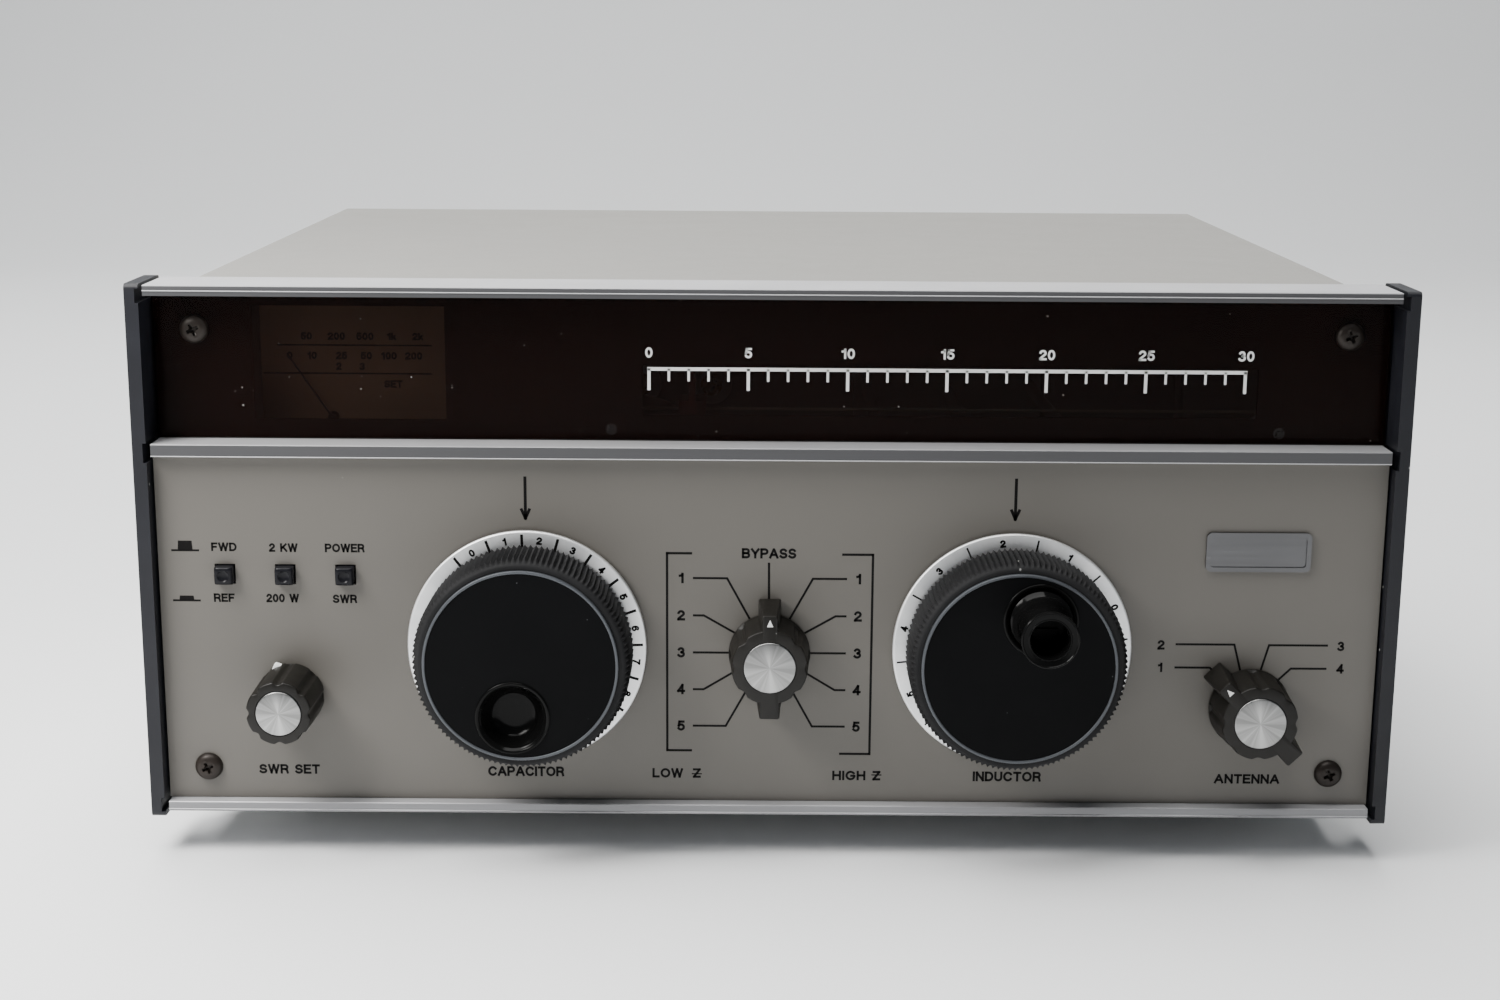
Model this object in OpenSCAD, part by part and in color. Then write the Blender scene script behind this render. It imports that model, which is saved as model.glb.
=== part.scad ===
// Desktop antenna tuner: an L network with a variable capacitor, a roller inductor,
// a mode switch, an antenna switch, a power and SWR meter and a turns scale.
// Lengths are millimetres. X runs to the right, Y to the back and Z up. The origin is on
// the table under the middle of the whole object.
// Most modules are drawn in the case frame: x from the middle, y back from the front
// edges of the side rails, z up from their bottom ends. place() moves them to the origin.

/* [Case] */
// Width over the side rails
case_w = 330; // [326:1:334]
// Height of the side rails
case_h = 143; // [143:0.5:144]
// Depth from the rails' front edges to the back of the cover
case_d = 253; // [250:1:258]
// Width of the sheet metal cover
cover_w = 312; // [310:1:314]
// Thickness of the cover and the chassis sheet
sheet_t = 1.2; // [1:0.1:1.4]
// Height of the rubber feet
foot_h = 12; // [9:1:15]

/* [Front] */
// Depth of the side rails
rail_d = 21; // [20:0.5:22]
// Thickness of the side rails
rail_t = 3.6; // [3.2:0.2:3.8]
// How far the painted panel is set back
panel_y = 4; // [3.5:0.5:4]
// How far the window is set back
window_y = 10; // [10:0.5:10]
// Thickness of the painted panel and the window
panel_t = 2; // [1.5:0.5:2]

/* [Big knobs] */
// Height of both big knobs' shafts over the rails' bottom ends
big_z = 47.3; // [46.5:0.1:48]
// Distance of each big knob from the middle
big_x = 64; // [63.5:0.5:64.5]
// Radius of the dial skirt
skirt_r = 31.6; // [31:0.2:32]
// Radius of the knurled grip
knob_r = 28.2; // [27.8:0.2:28.6]
// Radius of the finger cups' circle
cup_circle_r = 14; // [13.5:0.5:14]
// Direction of the capacitor knob's cup, clockwise from the top
capacitor_cup_angle = 189; // [0:1:359]
// Direction of the inductor knob's cup, clockwise from the top
inductor_cup_angle = 21; // [0:1:359]

/* [Small knobs] */
// Height of the mode switch shaft
mode_z = 45.7; // [45:0.1:46]
// Distance of the antenna switch from the middle
antenna_x = 127.7; // [127:0.1:128]
// Height of the antenna switch shaft
antenna_z = 31.5; // [31:0.1:32]
// Distance of the set knob from the middle, to the left
swr_x = 127; // [126:0.5:128]
// Height of the set knob's shaft
swr_z = 33.4; // [33:0.1:34]
// Turn of the antenna knob's pointer from upright, counter-clockwise
antenna_turn = 45; // [45:1:45]
// Turn of the set knob's pointer from upright, counter-clockwise
swr_turn = 22.5; // [0:0.5:60]

/* [Push buttons] */
// Place of the middle button from the middle, to the left
button_x = 127.5; // [127:0.5:128]
// Distance between the buttons
button_pitch = 15.85; // [15.5:0.05:16]
// Height of the buttons
button_z = 66.2; // [65.5:0.1:67]
// Width of a button's cap
button_w = 4.8; // [4.6:0.1:4.9]

/* [Scale and meter] */
// Place of the scale's zero
scale_x0 = -32.2; // [-33:0.1:-31]
// Travel of the pointer, and of the roller, for one turn of the inductor
turn_pitch = 5.18; // [5.1:0.01:5.2]
// Full number of turns
turns = 30; // [30:1:30]
// Turns counted at rest
turns_now = 2.19; // [0:0.01:30]
// Turn of the capacitor's rotor at rest, counter-clockwise from fully open
rotor_now = 28.8; // [0:0.1:180]
// Middle of the meter's window
meter_x = -110.5; // [-111:0.1:-110]

/* [Hidden] */
$fn = 64;
fit = 0.05;
gap = 0.1;

floor_z = 1.5;
floor_t = 1.5;
chassis_top = floor_z + floor_t;
trim_top = 142.6;
trim_y = 0.5;
middle_low = 98.1;
middle_high = 101.4;
bottom_low = 1.6;
bottom_high = 4.2;
top_low = 139.9;
face_w = case_w - 2 * rail_t - 1.2;
trim_w = case_w - 2 * rail_t - 2;

window_z0 = middle_high + gap;
window_z1 = 141;
sub_y = window_y + panel_t + gap;
sub_t = 1.5;
sub_back = sub_y + sub_t;
cover_y = 16;
cover_top = 141;
rear_y = case_d - 2.5;
rear_t = 1.5;
rear_face = rear_y + rear_t;
insert_y = rear_face + 12.6;

front_reach = 34.5;
rear_reach = 19;
front_y = (front_reach - case_d - rear_reach) / 2;
lift = foot_h - floor_z;

capacitor_axis = [-big_x, big_z];
inductor_axis = [big_x, big_z];
mode_axis = [0, mode_z];
antenna_axis = [antenna_x, antenna_z];
swr_axis = [-swr_x, swr_z];
shaft_r = 3;
shaft_tip = 8;

screw_x = 150;
screw_r = 1.75;
screw_hole_r = 2.1;
screw_head_r = 3.7;
screw_upper_z = 130.2;
screw_lower_z = 13;

foot_x = 130;
foot_y0 = 46;
foot_y1 = 224;

// Knob heights are measured forwards from the rails' front edges.
skirt_low = -2.8;
skirt_t = 1.3;
grip_low = -1.4;
grip_high = 13.2;
knob_top = 15.4;
face_r = 25.2;
face_high = 16;
rim_high = 16.3;
cup_r = 9.3;
cup_depth = 6;
cup_high = 16.5;
handle_high = front_reach;
knob_low = -3.4;
knob_high = 10.6;
swr_high = 13.6;

coil_r = 24;
wire_r = 1.3;
winding_r = coil_r + wire_r - 0.1;
coil_y0 = 36;
winding_y0 = 44;
coil_y1 = winding_y0 + turns * turn_pitch + 8;
roller_r = 7;
roller_z = big_z + winding_r + wire_r + roller_r + 0.3;
roller_y = winding_y0 + turns_now * turn_pitch;
plate_y1 = coil_y1 + 4;

gear_m = 0.8;
pinion_teeth = 12;
gear_teeth = 60;
gear_y = 16;
gear_t = 2.5;
gear_z = big_z + gear_m * (pinion_teeth + gear_teeth) / 2;
drum_r = turn_pitch * gear_teeth / pinion_teeth / (2 * PI);
cord_r = 0.4;
cord_y = 21.5;
guide_z = 104;
guide_x0 = scale_x0 - 9.8;
guide_x1 = scale_x0 + turns * turn_pitch + 10.4;
pointer_x = scale_x0 + turns_now * turn_pitch;
rail_y = 28;
rail_z = 100;
rail_r = 2;
pointer_half = 3.5;

meter_z = 121.2;
meter_w = 50.4;
meter_h = 30;
meter_case_w = 54;
meter_low = 98;
meter_high = 138.6;
meter_wall = 1.6;
dial_y = 23;
needle_x = -117;
needle_z = 105.1;
needle_l = 20.7;
needle_turn = 34;

plate_count = 12;
plate_pitch = 8;
capacitor_y1 = 48 + plate_count * plate_pitch;
rotor_r = 28;

socket_places = [[-124, 34], [58, 34], [92, 34], [126, 34]];
socket_r = 7.94;
contact_r = 2;
terminal_places = [[-72, 78], [-46, 78], [-20, 78]];
ground_place = [-92, 14];
jack_place = [-96, 112];

// ---------- helpers ----------

// The case frame.
module place() translate([0, front_y, lift]) children();

// Local axes at a front control: x right, y up, z forwards from the rails' front edges.
module front(axis) place() translate([axis[0], 0, axis[1]]) rotate([90, 0, 0]) children();

// A round bar along Y, from y0 to y1, on an axis given as [x, z] in the case frame.
module bar(axis, y0, y1, r) {
    translate([axis[0], y0, axis[1]]) rotate([-90, 0, 0]) cylinder(h = y1 - y0, r = r);
}

// A box from its lowest corner to its highest corner.
module block(low, high) translate(low) cube(high - low);

// A round-cornered rectangle about the origin, with exact arcs.
module round_rect(size, r) {
    square([size[0] - 2 * r, size[1]], center = true);
    square([size[0], size[1] - 2 * r], center = true);
    for (sx = [-1, 1], sy = [-1, 1]) {
        translate([sx * (size[0] / 2 - r), sy * (size[1] / 2 - r)]) circle(r = r);
    }
}

// A ring around a bore.
module tube(h, outer, inner) {
    difference() {
        cylinder(h = h, r = outer);
        translate([0, 0, -1]) cylinder(h = h + 2, r = inner);
    }
}

// A domed head with a cross recess, standing on its underside, with its shank below.
module pan_screw(head_r, head_h, shank_r, shank_l) {
    sphere_r = (head_r * head_r + head_h * head_h) / (2 * head_h) * 1.15;
    slot_w = 0.28 * head_r;
    difference() {
        intersection() {
            cylinder(h = head_h, r = head_r);
            translate([0, 0, head_h - sphere_r]) sphere(r = sphere_r);
        }
        for (a = [20, 110]) {
            rotate(a) translate([-0.55 * head_r, -slot_w / 2, 0.4 * head_h])
                cube([1.1 * head_r, slot_w, head_h]);
        }
    }
    translate([0, 0, -shank_l]) cylinder(h = shank_l, r = shank_r);
}

// Outline with evenly spaced teeth, for a knurled grip.
function knurl_outline(r, depth, teeth) = [
    for (i = [0 : 2 * teeth - 1])
        let (a = i * 180 / teeth, p = i % 2 == 0 ? r : r - depth) [p * cos(a), p * sin(a)]
];

// Outline of broad lobes parted by narrow hollows, for a fluted grip.
function lobe_outline(r, depth, lobes, points) = [
    for (i = [0 : lobes * points - 1])
        let (a = i * 360 / (lobes * points), p = r - depth * pow(abs(cos(lobes * a / 2)), 6))
            [p * sin(a), p * cos(a)]
];

// Involute gear teeth, thinned for backlash. The first tooth is on +Y.
function involute_angle(r, base) = r <= base ? 0 : tan(acos(base / r)) * 180 / PI - acos(base / r);
function tooth_half(r, pitch, base, half) = half + involute_angle(pitch, base) - involute_angle(r, base);
function gear_outline(teeth, m) =
    let (
        pitch = m * teeth / 2,
        base = pitch * cos(20),
        radii = [pitch - 1.15 * m, pitch - 0.4 * m, pitch + 0.2 * m, pitch + 0.8 * m],
        half = 74 / teeth
    )
    [for (k = [0 : teeth - 1], side = [-1, 1], j = [0 : 3])
        let (
            r = side < 0 ? radii[j] : radii[3 - j],
            a = k * 360 / teeth + side * tooth_half(r, pitch, base, half)
        )
        [r * sin(a), r * cos(a)]
    ];

// ---------- case ----------

module bottom_chassis() {
    half = cover_w / 2 - sheet_t - 0.2;
    color("silver") place() difference() {
        union() {
            block([-half, sub_back + gap, floor_z], [half, rear_face + 0.3, chassis_top]);
            for (s = [-1, 1]) {
                translate([s * (half - sheet_t / 2), 0, 0])
                    block([-sheet_t / 2, sub_back + gap, floor_z], [sheet_t / 2, rear_y - gap, 16]);
            }
            block([-half, sub_back + gap, floor_z], [half, sub_back + gap + sheet_t, 9]);
        }
        for (x = [-foot_x, foot_x], y = [foot_y0, foot_y1]) {
            translate([x, y, 0]) cylinder(h = 10, r = screw_hole_r);
        }
        for (y = [45, 130, 222]) {
            translate([-cover_w, y, 10]) rotate([0, 90, 0]) cylinder(h = 2 * cover_w, r = screw_hole_r);
        }
    }
}

module top_cover() {
    depth = case_d - cover_y;
    color([0.66, 0.64, 0.59]) place() difference() {
        translate([0, case_d, cover_top]) rotate([90, 0, 0]) linear_extrude(depth) difference() {
            translate([0, -cover_top / 2]) round_rect([cover_w, cover_top], 2.4);
            translate([0, -cover_top / 2 - sheet_t]) round_rect([cover_w - 2 * sheet_t, cover_top], 1.2);
            translate([-cover_w, floor_z - 2 * cover_top]) square([2 * cover_w, cover_top]);
        }
        for (y = [45, 130, 222]) {
            translate([-cover_w, y, 10]) rotate([0, 90, 0]) cylinder(h = 2 * cover_w, r = screw_hole_r);
        }
    }
}

module rear_panel() {
    half = cover_w / 2 - sheet_t - 0.5;
    flange_x = half - 1.6;
    color([0.62, 0.6, 0.56]) place() difference() {
        union() {
            block([-half, rear_y, chassis_top + gap], [half, rear_face, cover_top - sheet_t - 0.5]);
            for (s = [-1, 1]) {
                translate([s * flange_x, 0, 0])
                    block([-0.6, rear_y - 11, 17], [0.6, rear_y + 0.1, cover_top - 8]);
            }
        }
        for (x = [-140, 140], z = [12, 128]) bar([x, z], rear_y - 1, rear_face + 1, screw_hole_r);
        for (p = socket_places) bar(p, rear_y - 1, rear_face + 1, socket_r - 0.4);
        for (p = terminal_places) bar(p, rear_y - 1, rear_face + 1, 5.2);
        bar(ground_place, rear_y - 1, rear_face + 1, 3.2);
        bar(jack_place, rear_y - 1, rear_face + 1, 4.1);
    }
}

module sub_panel() {
    color("dimgray") place() difference() {
        block([-face_w / 2, sub_y, chassis_top + gap], [face_w / 2, sub_back, window_z1]);
        translate([meter_x, 0, meter_z])
            block([-meter_w / 2, 0, -meter_h / 2], [meter_w / 2, 20, meter_h / 2]);
        block([scale_x0 - 1.6, 0, 107.8], [scale_x0 + turns * turn_pitch + 4.3, 20, 121]);
        for (p = [capacitor_axis, inductor_axis]) bar(p, sub_y - 1, sub_back + 1, shaft_r + 1);
        for (p = [mode_axis, antenna_axis, swr_axis]) bar(p, sub_y - 1, sub_back + 1, 4.8);
        for (i = [-1 : 1]) {
            translate([-button_x + i * button_pitch, sub_y, button_z]) cube([4.6, 9, 4.6], center = true);
        }
        for (s = [-1, 1], z = [screw_upper_z, screw_lower_z]) {
            bar([s * screw_x, z], sub_y - 1, sub_back + 1, screw_r + fit);
        }
        bar([big_x, gear_z], sub_y - 1, sub_back + 1, 2 + fit);
        for (x = [guide_x0, guide_x1]) bar([x, guide_z], sub_y - 1, sub_back + 1, 1.5 + fit);
    }
}

module front_panel() {
    color([0.56, 0.54, 0.5]) place() difference() {
        block(
            [-face_w / 2, panel_y, bottom_high + gap],
            [face_w / 2, panel_y + panel_t, middle_low - gap]
        );
        for (p = [capacitor_axis, inductor_axis, mode_axis, antenna_axis, swr_axis]) {
            bar(p, panel_y - 1, panel_y + panel_t + 1, 5);
        }
        for (i = [-1 : 1]) {
            translate([-button_x + i * button_pitch, panel_y, button_z])
                cube([button_w + 0.6, 9, button_w + 0.6], center = true);
        }
        for (s = [-1, 1]) {
            bar([s * screw_x, screw_lower_z], panel_y - 1, panel_y + panel_t + 1, screw_hole_r);
        }
    }
}

module window() {
    color([0.12, 0.05, 0.04, 0.6]) place() difference() {
        block([-face_w / 2, window_y, window_z0], [face_w / 2, window_y + panel_t, window_z1]);
        for (s = [-1, 1]) {
            bar([s * screw_x, screw_upper_z], window_y - 1, window_y + panel_t + 1, screw_hole_r);
        }
    }
}

// One rail on +X: a plate with rounded edges, a rib and a flange that grip the panels, and
// pockets beside the ends of the trims.
module side_rail() {
    inner = case_w / 2 - rail_t;
    cover_side = cover_w / 2 + 0.3;
    pockets = [
        [bottom_low - 0.2, bottom_high + 1], [middle_low - 1.5, middle_high + 0.3],
        [top_low - 1.8, trim_top - 0.8]
    ];
    difference() {
        union() {
            translate([case_w / 2 - rail_t, rail_d / 2, case_h / 2]) rotate([0, 90, 0])
                linear_extrude(rail_t) round_rect([case_h, rail_d], 1.2);
            block(
                [inner - 2, panel_y + panel_t + gap, 6],
                [inner + 0.1, window_y - gap, middle_low - 0.2]
            );
            block([cover_side, sub_back + 0.3, 3.2], [inner + 0.1, rail_d - 3, 138]);
        }
        for (z = pockets) {
            block([inner - 5, -1, z[0]], [inner + 0.9, window_y + panel_t + 0.2, z[1]]);
        }
    }
}

module side_rails() {
    color([0.17, 0.17, 0.19]) place() {
        side_rail();
        mirror([1, 0, 0]) side_rail();
    }
}

// A bar along X with its section given as [y, z] points.
module strip(section) {
    translate([-trim_w / 2, 0, 0]) rotate([90, 0, 90]) linear_extrude(trim_w) polygon(section);
}

module trim_strips() {
    ridge = 0.25;
    edge = 0.2;
    color("lightgray") place() {
        strip([
            [trim_y, top_low], [trim_y, 141.05], [trim_y - ridge, 141.2], [trim_y, 141.35],
            [trim_y, trim_top - edge], [trim_y + edge, trim_top], [20, trim_top], [20, 141.1],
            [window_y - gap, 141.1], [window_y - gap, top_low]
        ]);
        strip([
            [trim_y, middle_low], [trim_y - ridge, middle_low + 0.15], [trim_y, middle_low + 0.3],
            [trim_y, middle_high - edge], [trim_y + edge, middle_high],
            [window_y + panel_t, middle_high], [window_y + panel_t, middle_low]
        ]);
        strip([
            [trim_y, bottom_low], [trim_y, bottom_low + 0.35], [trim_y - ridge, bottom_low + 0.5],
            [trim_y, bottom_low + 0.65], [trim_y, bottom_high - edge], [trim_y + edge, bottom_high],
            [window_y + panel_t, bottom_high], [window_y + panel_t, bottom_low]
        ]);
    }
}

module front_screws() {
    color([0.22, 0.18, 0.16]) for (s = [-1, 1]) {
        front([s * screw_x, screw_upper_z]) translate([0, 0, -window_y])
            pan_screw(screw_head_r, 2.4, screw_r, 8);
        front([s * screw_x, screw_lower_z]) translate([0, 0, -panel_y])
            pan_screw(screw_head_r, 2.4, screw_r, 14);
    }
}

module case_screws() {
    color([0.2, 0.2, 0.2]) place() {
        for (s = [-1, 1], y = [45, 130, 222]) {
            translate([s * cover_w / 2, y, 10]) rotate([0, s * 90, 0]) pan_screw(3.2, 1.8, screw_r, 5);
        }
        for (x = [-140, 140], z = [12, 128]) {
            translate([x, rear_face, z]) rotate([-90, 0, 0]) pan_screw(3.2, 1.8, screw_r, 6);
        }
        for (x = [-foot_x, foot_x], y = [foot_y0, foot_y1]) {
            translate([x, y, floor_z - 3.5]) rotate([180, 0, 0]) pan_screw(3.2, 1.8, screw_r, 9);
            translate([x, y, chassis_top]) difference() {
                cylinder(h = 2.4, r = 3.4, $fn = 6);
                translate([0, 0, -1]) cylinder(h = 5, r = screw_r + fit);
            }
        }
    }
}

module feet() {
    color([0.12, 0.12, 0.12]) place() for (x = [-foot_x, foot_x], y = [foot_y0, foot_y1]) {
        translate([x, y, floor_z - foot_h]) difference() {
            cylinder(h = foot_h, r1 = 8.5, r2 = 10);
            translate([0, 0, -1]) cylinder(h = foot_h - 2.5, r = 4.2);
            cylinder(h = foot_h + 1, r = screw_hole_r);
        }
    }
}

module badge() {
    color("silver") front([128, 74]) translate([0, 0, -panel_y]) difference() {
        linear_extrude(0.9) round_rect([27.5, 10.5], 1.5);
        translate([0, 0, 0.5]) linear_extrude(1) round_rect([25.1, 8.1], 0.9);
    }
}

// ---------- meter and turns scale ----------

// A box open to the front, behind the opening in the sub-panel.
module meter_case() {
    half = meter_case_w / 2;
    color([0.13, 0.12, 0.11]) place() difference() {
        translate([meter_x, 0, 0]) block([-half, sub_back + gap, meter_low], [half, 44, meter_high]);
        translate([meter_x, 0, 0]) block(
            [-half + meter_wall, sub_back, meter_low + meter_wall],
            [half - meter_wall, dial_y + 2, meter_high - meter_wall]
        );
        bar([needle_x, needle_z], 20, dial_y + 6, 1.2 + fit);
    }
}

module meter_dial() {
    half = meter_case_w / 2 - meter_wall - gap;
    color([0.85, 0.76, 0.6]) place() difference() {
        translate([meter_x, 0, 0]) block(
            [-half, dial_y, meter_low + meter_wall + gap],
            [half, dial_y + 0.8, meter_high - meter_wall - gap]
        );
        bar([needle_x, needle_z], 20, 30, 1.5);
    }
}

// A thin pointer with its counterweight and pivot pin.
module meter_needle() {
    color([0.1, 0.08, 0.08]) place() translate([needle_x, 0, needle_z]) {
        rotate([0, -needle_turn, 0]) {
            block([-0.2, dial_y - 2, -0.2], [0.2, dial_y - 1.6, needle_l]);
            block([-0.9, dial_y - 2, -4.2], [0.9, dial_y - 1, 0]);
        }
        bar([0, 0], dial_y - 2.2, dial_y + 5, 1.2);
    }
}

// Three lamps on a strip that is screwed to the back of the sub-panel.
module scale_lamps() {
    lamp_z = 128.5;
    color([0.95, 0.9, 0.75]) place() {
        for (x = [-70, 8, 82]) {
            bar([x, lamp_z], 18, 24, 2);
            translate([x, 18, lamp_z]) sphere(r = 2);
            bar([x, lamp_z], 23.9, 30, 3);
        }
        block([-78, 29.9, lamp_z - 3.5], [90, 31, lamp_z + 6]);
        for (x = [-78, 88.8]) block([x, sub_back + gap, lamp_z - 3.5], [x + 1.2, 31, lamp_z + 6]);
    }
}

module pointer_rail() {
    x0 = guide_x0 - 7;
    x1 = guide_x1 + 7;
    color("gray") place() {
        difference() {
            for (x = [x0, x1]) block([x - 1, sub_back + gap, rail_z - 5], [x + 1, rail_y + 5, rail_z + 5]);
            translate([x0 - 5, rail_y, rail_z]) rotate([0, 90, 0]) cylinder(h = x1 - x0 + 10, r = rail_r);
        }
        translate([x0 - 2, rail_y, rail_z]) rotate([0, 90, 0]) cylinder(h = x1 - x0 + 4, r = rail_r);
        for (x = [guide_x0, guide_x1]) {
            bar([x, guide_z], sub_y, cord_y, 1.5);
            bar([x, guide_z], sub_back + gap, cord_y - 1.5, 5);
            bar([x, guide_z], cord_y - 2, cord_y + 2, drum_r - cord_r - fit);
            bar([x, guide_z], cord_y + 1.5, cord_y + 2.5, 5);
        }
        bar([big_x, gear_z], sub_y, 24.6, 2);
        bar([big_x, gear_z], sub_back + gap, gear_y - 0.1, 4);
        bar([big_x, gear_z], 24.2, 25.4, 3.2);
    }
}

module turns_pointer() {
    color([0.75, 0.12, 0.08]) place() translate([pointer_x, 0, 0]) difference() {
        union() {
            block([-pointer_half, rail_y - 4, rail_z - 3.5], [pointer_half, rail_y + 4, rail_z + 3.5]);
            block([-pointer_half, rail_y - 4, rail_z], [pointer_half, rail_y - 1, 111]);
            block([-pointer_half, 16.2, 106], [pointer_half, rail_y - 1, 111]);
            block([-0.9, 15, 106], [0.9, 16.2, 123]);
        }
        translate([-10, rail_y, rail_z]) rotate([0, 90, 0]) cylinder(h = 20, r = rail_r + fit);
        translate([-10, cord_y, guide_z + drum_r]) rotate([0, 90, 0]) cylinder(h = 20, r = cord_r + 0.15);
    }
}

module pointer_gear() {
    color("khaki") place() difference() {
        translate([big_x, gear_y + gear_t, gear_z]) rotate([90, 0, 0]) union() {
            linear_extrude(gear_t) rotate(180 + 180 / gear_teeth)
                polygon(gear_outline(gear_teeth, gear_m));
            translate([0, 0, -5.4]) cylinder(h = 5.5, r = drum_r - 0.5 - fit);
            translate([0, 0, -5.4]) cylinder(h = 0.8, r = 6.5);
        }
        bar([big_x, gear_z], gear_y - 1, 30, 2 + fit);
    }
}

// Straight run of the cord between two points.
module cord_run(a, b) {
    d = b - a;
    translate(a) rotate([0, acos(d[2] / norm(d)), atan2(d[1], d[0])]) cylinder(h = norm(d), r = cord_r);
}

// Arc of the cord about [x, z], counter-clockwise from one direction to another. It is a
// little thicker than the runs, so that their ends lie inside it.
module cord_arc(centre, from, to) {
    spare = 3;
    translate([centre[0], cord_y, centre[1]]) rotate([90, 0, 0]) rotate(from - spare)
        rotate_extrude(angle = to - from + 2 * spare)
            translate([drum_r, 0]) circle(r = cord_r + 0.02, $fn = 16);
}

// A point of the cord's path: a point [x, z] moved along a direction, at depth y.
function cord_point(centre, distance, angle, y) =
    [centre[0] + distance * cos(angle), y, centre[1] + distance * sin(angle)];

// A loop: along the top between the guides, down to the drum, and around it.
module dial_cord() {
    left = [guide_x0, guide_z];
    right = [guide_x1, guide_z];
    drum = [big_x, gear_z];
    spread = 0.9;
    to_drum = drum - right;
    fall_r = atan2(to_drum[1], to_drum[0]) - asin(2 * drum_r / norm(to_drum)) + 90;
    from_drum = left - drum;
    fall_l = atan2(from_drum[1], from_drum[0]) + asin(2 * drum_r / norm(from_drum)) + 90;
    color([0.8, 0.78, 0.7]) place() {
        cord_run(cord_point(left, drum_r, 90, cord_y), cord_point(right, drum_r, 90, cord_y));
        cord_run(
            cord_point(right, drum_r, fall_r, cord_y),
            cord_point(drum, -drum_r, fall_r, cord_y - spread)
        );
        cord_run(
            cord_point(left, drum_r, fall_l, cord_y),
            cord_point(drum, -drum_r, fall_l, cord_y + spread)
        );
        cord_arc(right, fall_r, 90);
        cord_arc(left, 90, fall_l);
        translate([big_x, cord_y - spread - cord_r, gear_z]) rotate([-90, 0, 0])
            tube(2 * (spread + cord_r), drum_r + 0.5, drum_r - 0.5);
    }
}

// ---------- big knobs ----------

// The cup's place in front() axes.
function cup_place(angle) = [cup_circle_r * sin(angle), cup_circle_r * cos(angle)];

module dial_skirt(axis) {
    color("gainsboro") front(axis) translate([0, 0, skirt_low]) difference() {
        union() {
            cylinder(h = skirt_t - 0.4, r = skirt_r);
            translate([0, 0, skirt_t - 0.4]) cylinder(h = 0.4, r1 = skirt_r, r2 = skirt_r - 0.4);
        }
        translate([0, 0, -1]) cylinder(h = 5, r = shaft_r + fit);
    }
}

module big_knob(axis, cup_angle) {
    color([0.09, 0.09, 0.1]) front(axis) difference() {
        union() {
            translate([0, 0, grip_low]) linear_extrude(grip_high - grip_low)
                polygon(knurl_outline(knob_r, 0.6, 120));
            translate([0, 0, grip_high - 0.1])
                cylinder(h = knob_top - grip_high + 0.1, r1 = knob_r - 0.7, r2 = face_r + 1.3);
        }
        translate([0, 0, grip_low - 1]) cylinder(h = shaft_tip - grip_low + 1.5, r = shaft_r + fit);
        translate([0, 0, face_high - 1.1]) cylinder(h = 5, r = face_r + fit);
        translate(cup_place(cup_angle)) translate([0, 0, cup_high - cup_depth - 2.2])
            cylinder(h = 20, r = cup_r + fit);
        translate(cup_place(cup_angle)) translate([0, 0, 3.5]) cylinder(h = 20, r = 2 + fit);
    }
}

module knob_face(axis, cup_angle) {
    color([0.07, 0.07, 0.08]) front(axis) difference() {
        union() {
            translate([0, 0, face_high - 1.1 + fit]) cylinder(h = 1.1 - fit, r = face_r);
            translate([0, 0, face_high - 0.5]) tube(rim_high - face_high + 0.5, face_r, face_r - 0.7);
        }
        translate(cup_place(cup_angle)) translate([0, 0, 10]) cylinder(h = 20, r = cup_r + fit);
    }
}

// Section of the cup's bowl: a flat bottom with a quarter-round wall up to the mouth.
function bowl_section(mouth, bottom, depth) = concat(
    [[0, 0], [bottom, 0]],
    [for (a = [10 : 10 : 90]) [bottom + (mouth - bottom) * sin(a), depth * (1 - cos(a))]],
    [[mouth, depth + 2], [0, depth + 2]]
);

module finger_cup(axis, cup_angle, pin_hole) {
    color([0.04, 0.04, 0.04]) front(axis) translate(cup_place(cup_angle))
        translate([0, 0, cup_high - cup_depth - 2]) difference() {
            union() {
                cylinder(h = cup_depth + 2, r = cup_r);
                translate([0, 0, cup_depth + 2 - (cup_high - face_high)])
                    cylinder(h = cup_high - face_high, r = cup_r + 0.4);
            }
            translate([0, 0, 2]) rotate_extrude() polygon(bowl_section(8.3, 4.2, cup_depth));
            if (pin_hole) translate([0, 0, -1]) cylinder(h = 10, r = 2 + fit);
        }
}

module inductor_skirt() dial_skirt(inductor_axis);
module inductor_knob() big_knob(inductor_axis, inductor_cup_angle);
module inductor_face() knob_face(inductor_axis, inductor_cup_angle);
module inductor_cup() finger_cup(inductor_axis, inductor_cup_angle, true);
module capacitor_skirt() dial_skirt(capacitor_axis);
module capacitor_knob() big_knob(capacitor_axis, capacitor_cup_angle);
module capacitor_face() knob_face(capacitor_axis, capacitor_cup_angle);
module capacitor_cup() finger_cup(capacitor_axis, capacitor_cup_angle, false);

module crank_pin() {
    color("gray") front(inductor_axis) translate(cup_place(inductor_cup_angle)) {
        translate([0, 0, 3.6]) cylinder(h = 17, r = 2);
        translate([0, 0, 20.3]) difference() {
            cylinder(h = 2, r = 3.6);
            translate([-4, -0.4, 1]) cube([8, 0.8, 2]);
        }
    }
}

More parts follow.
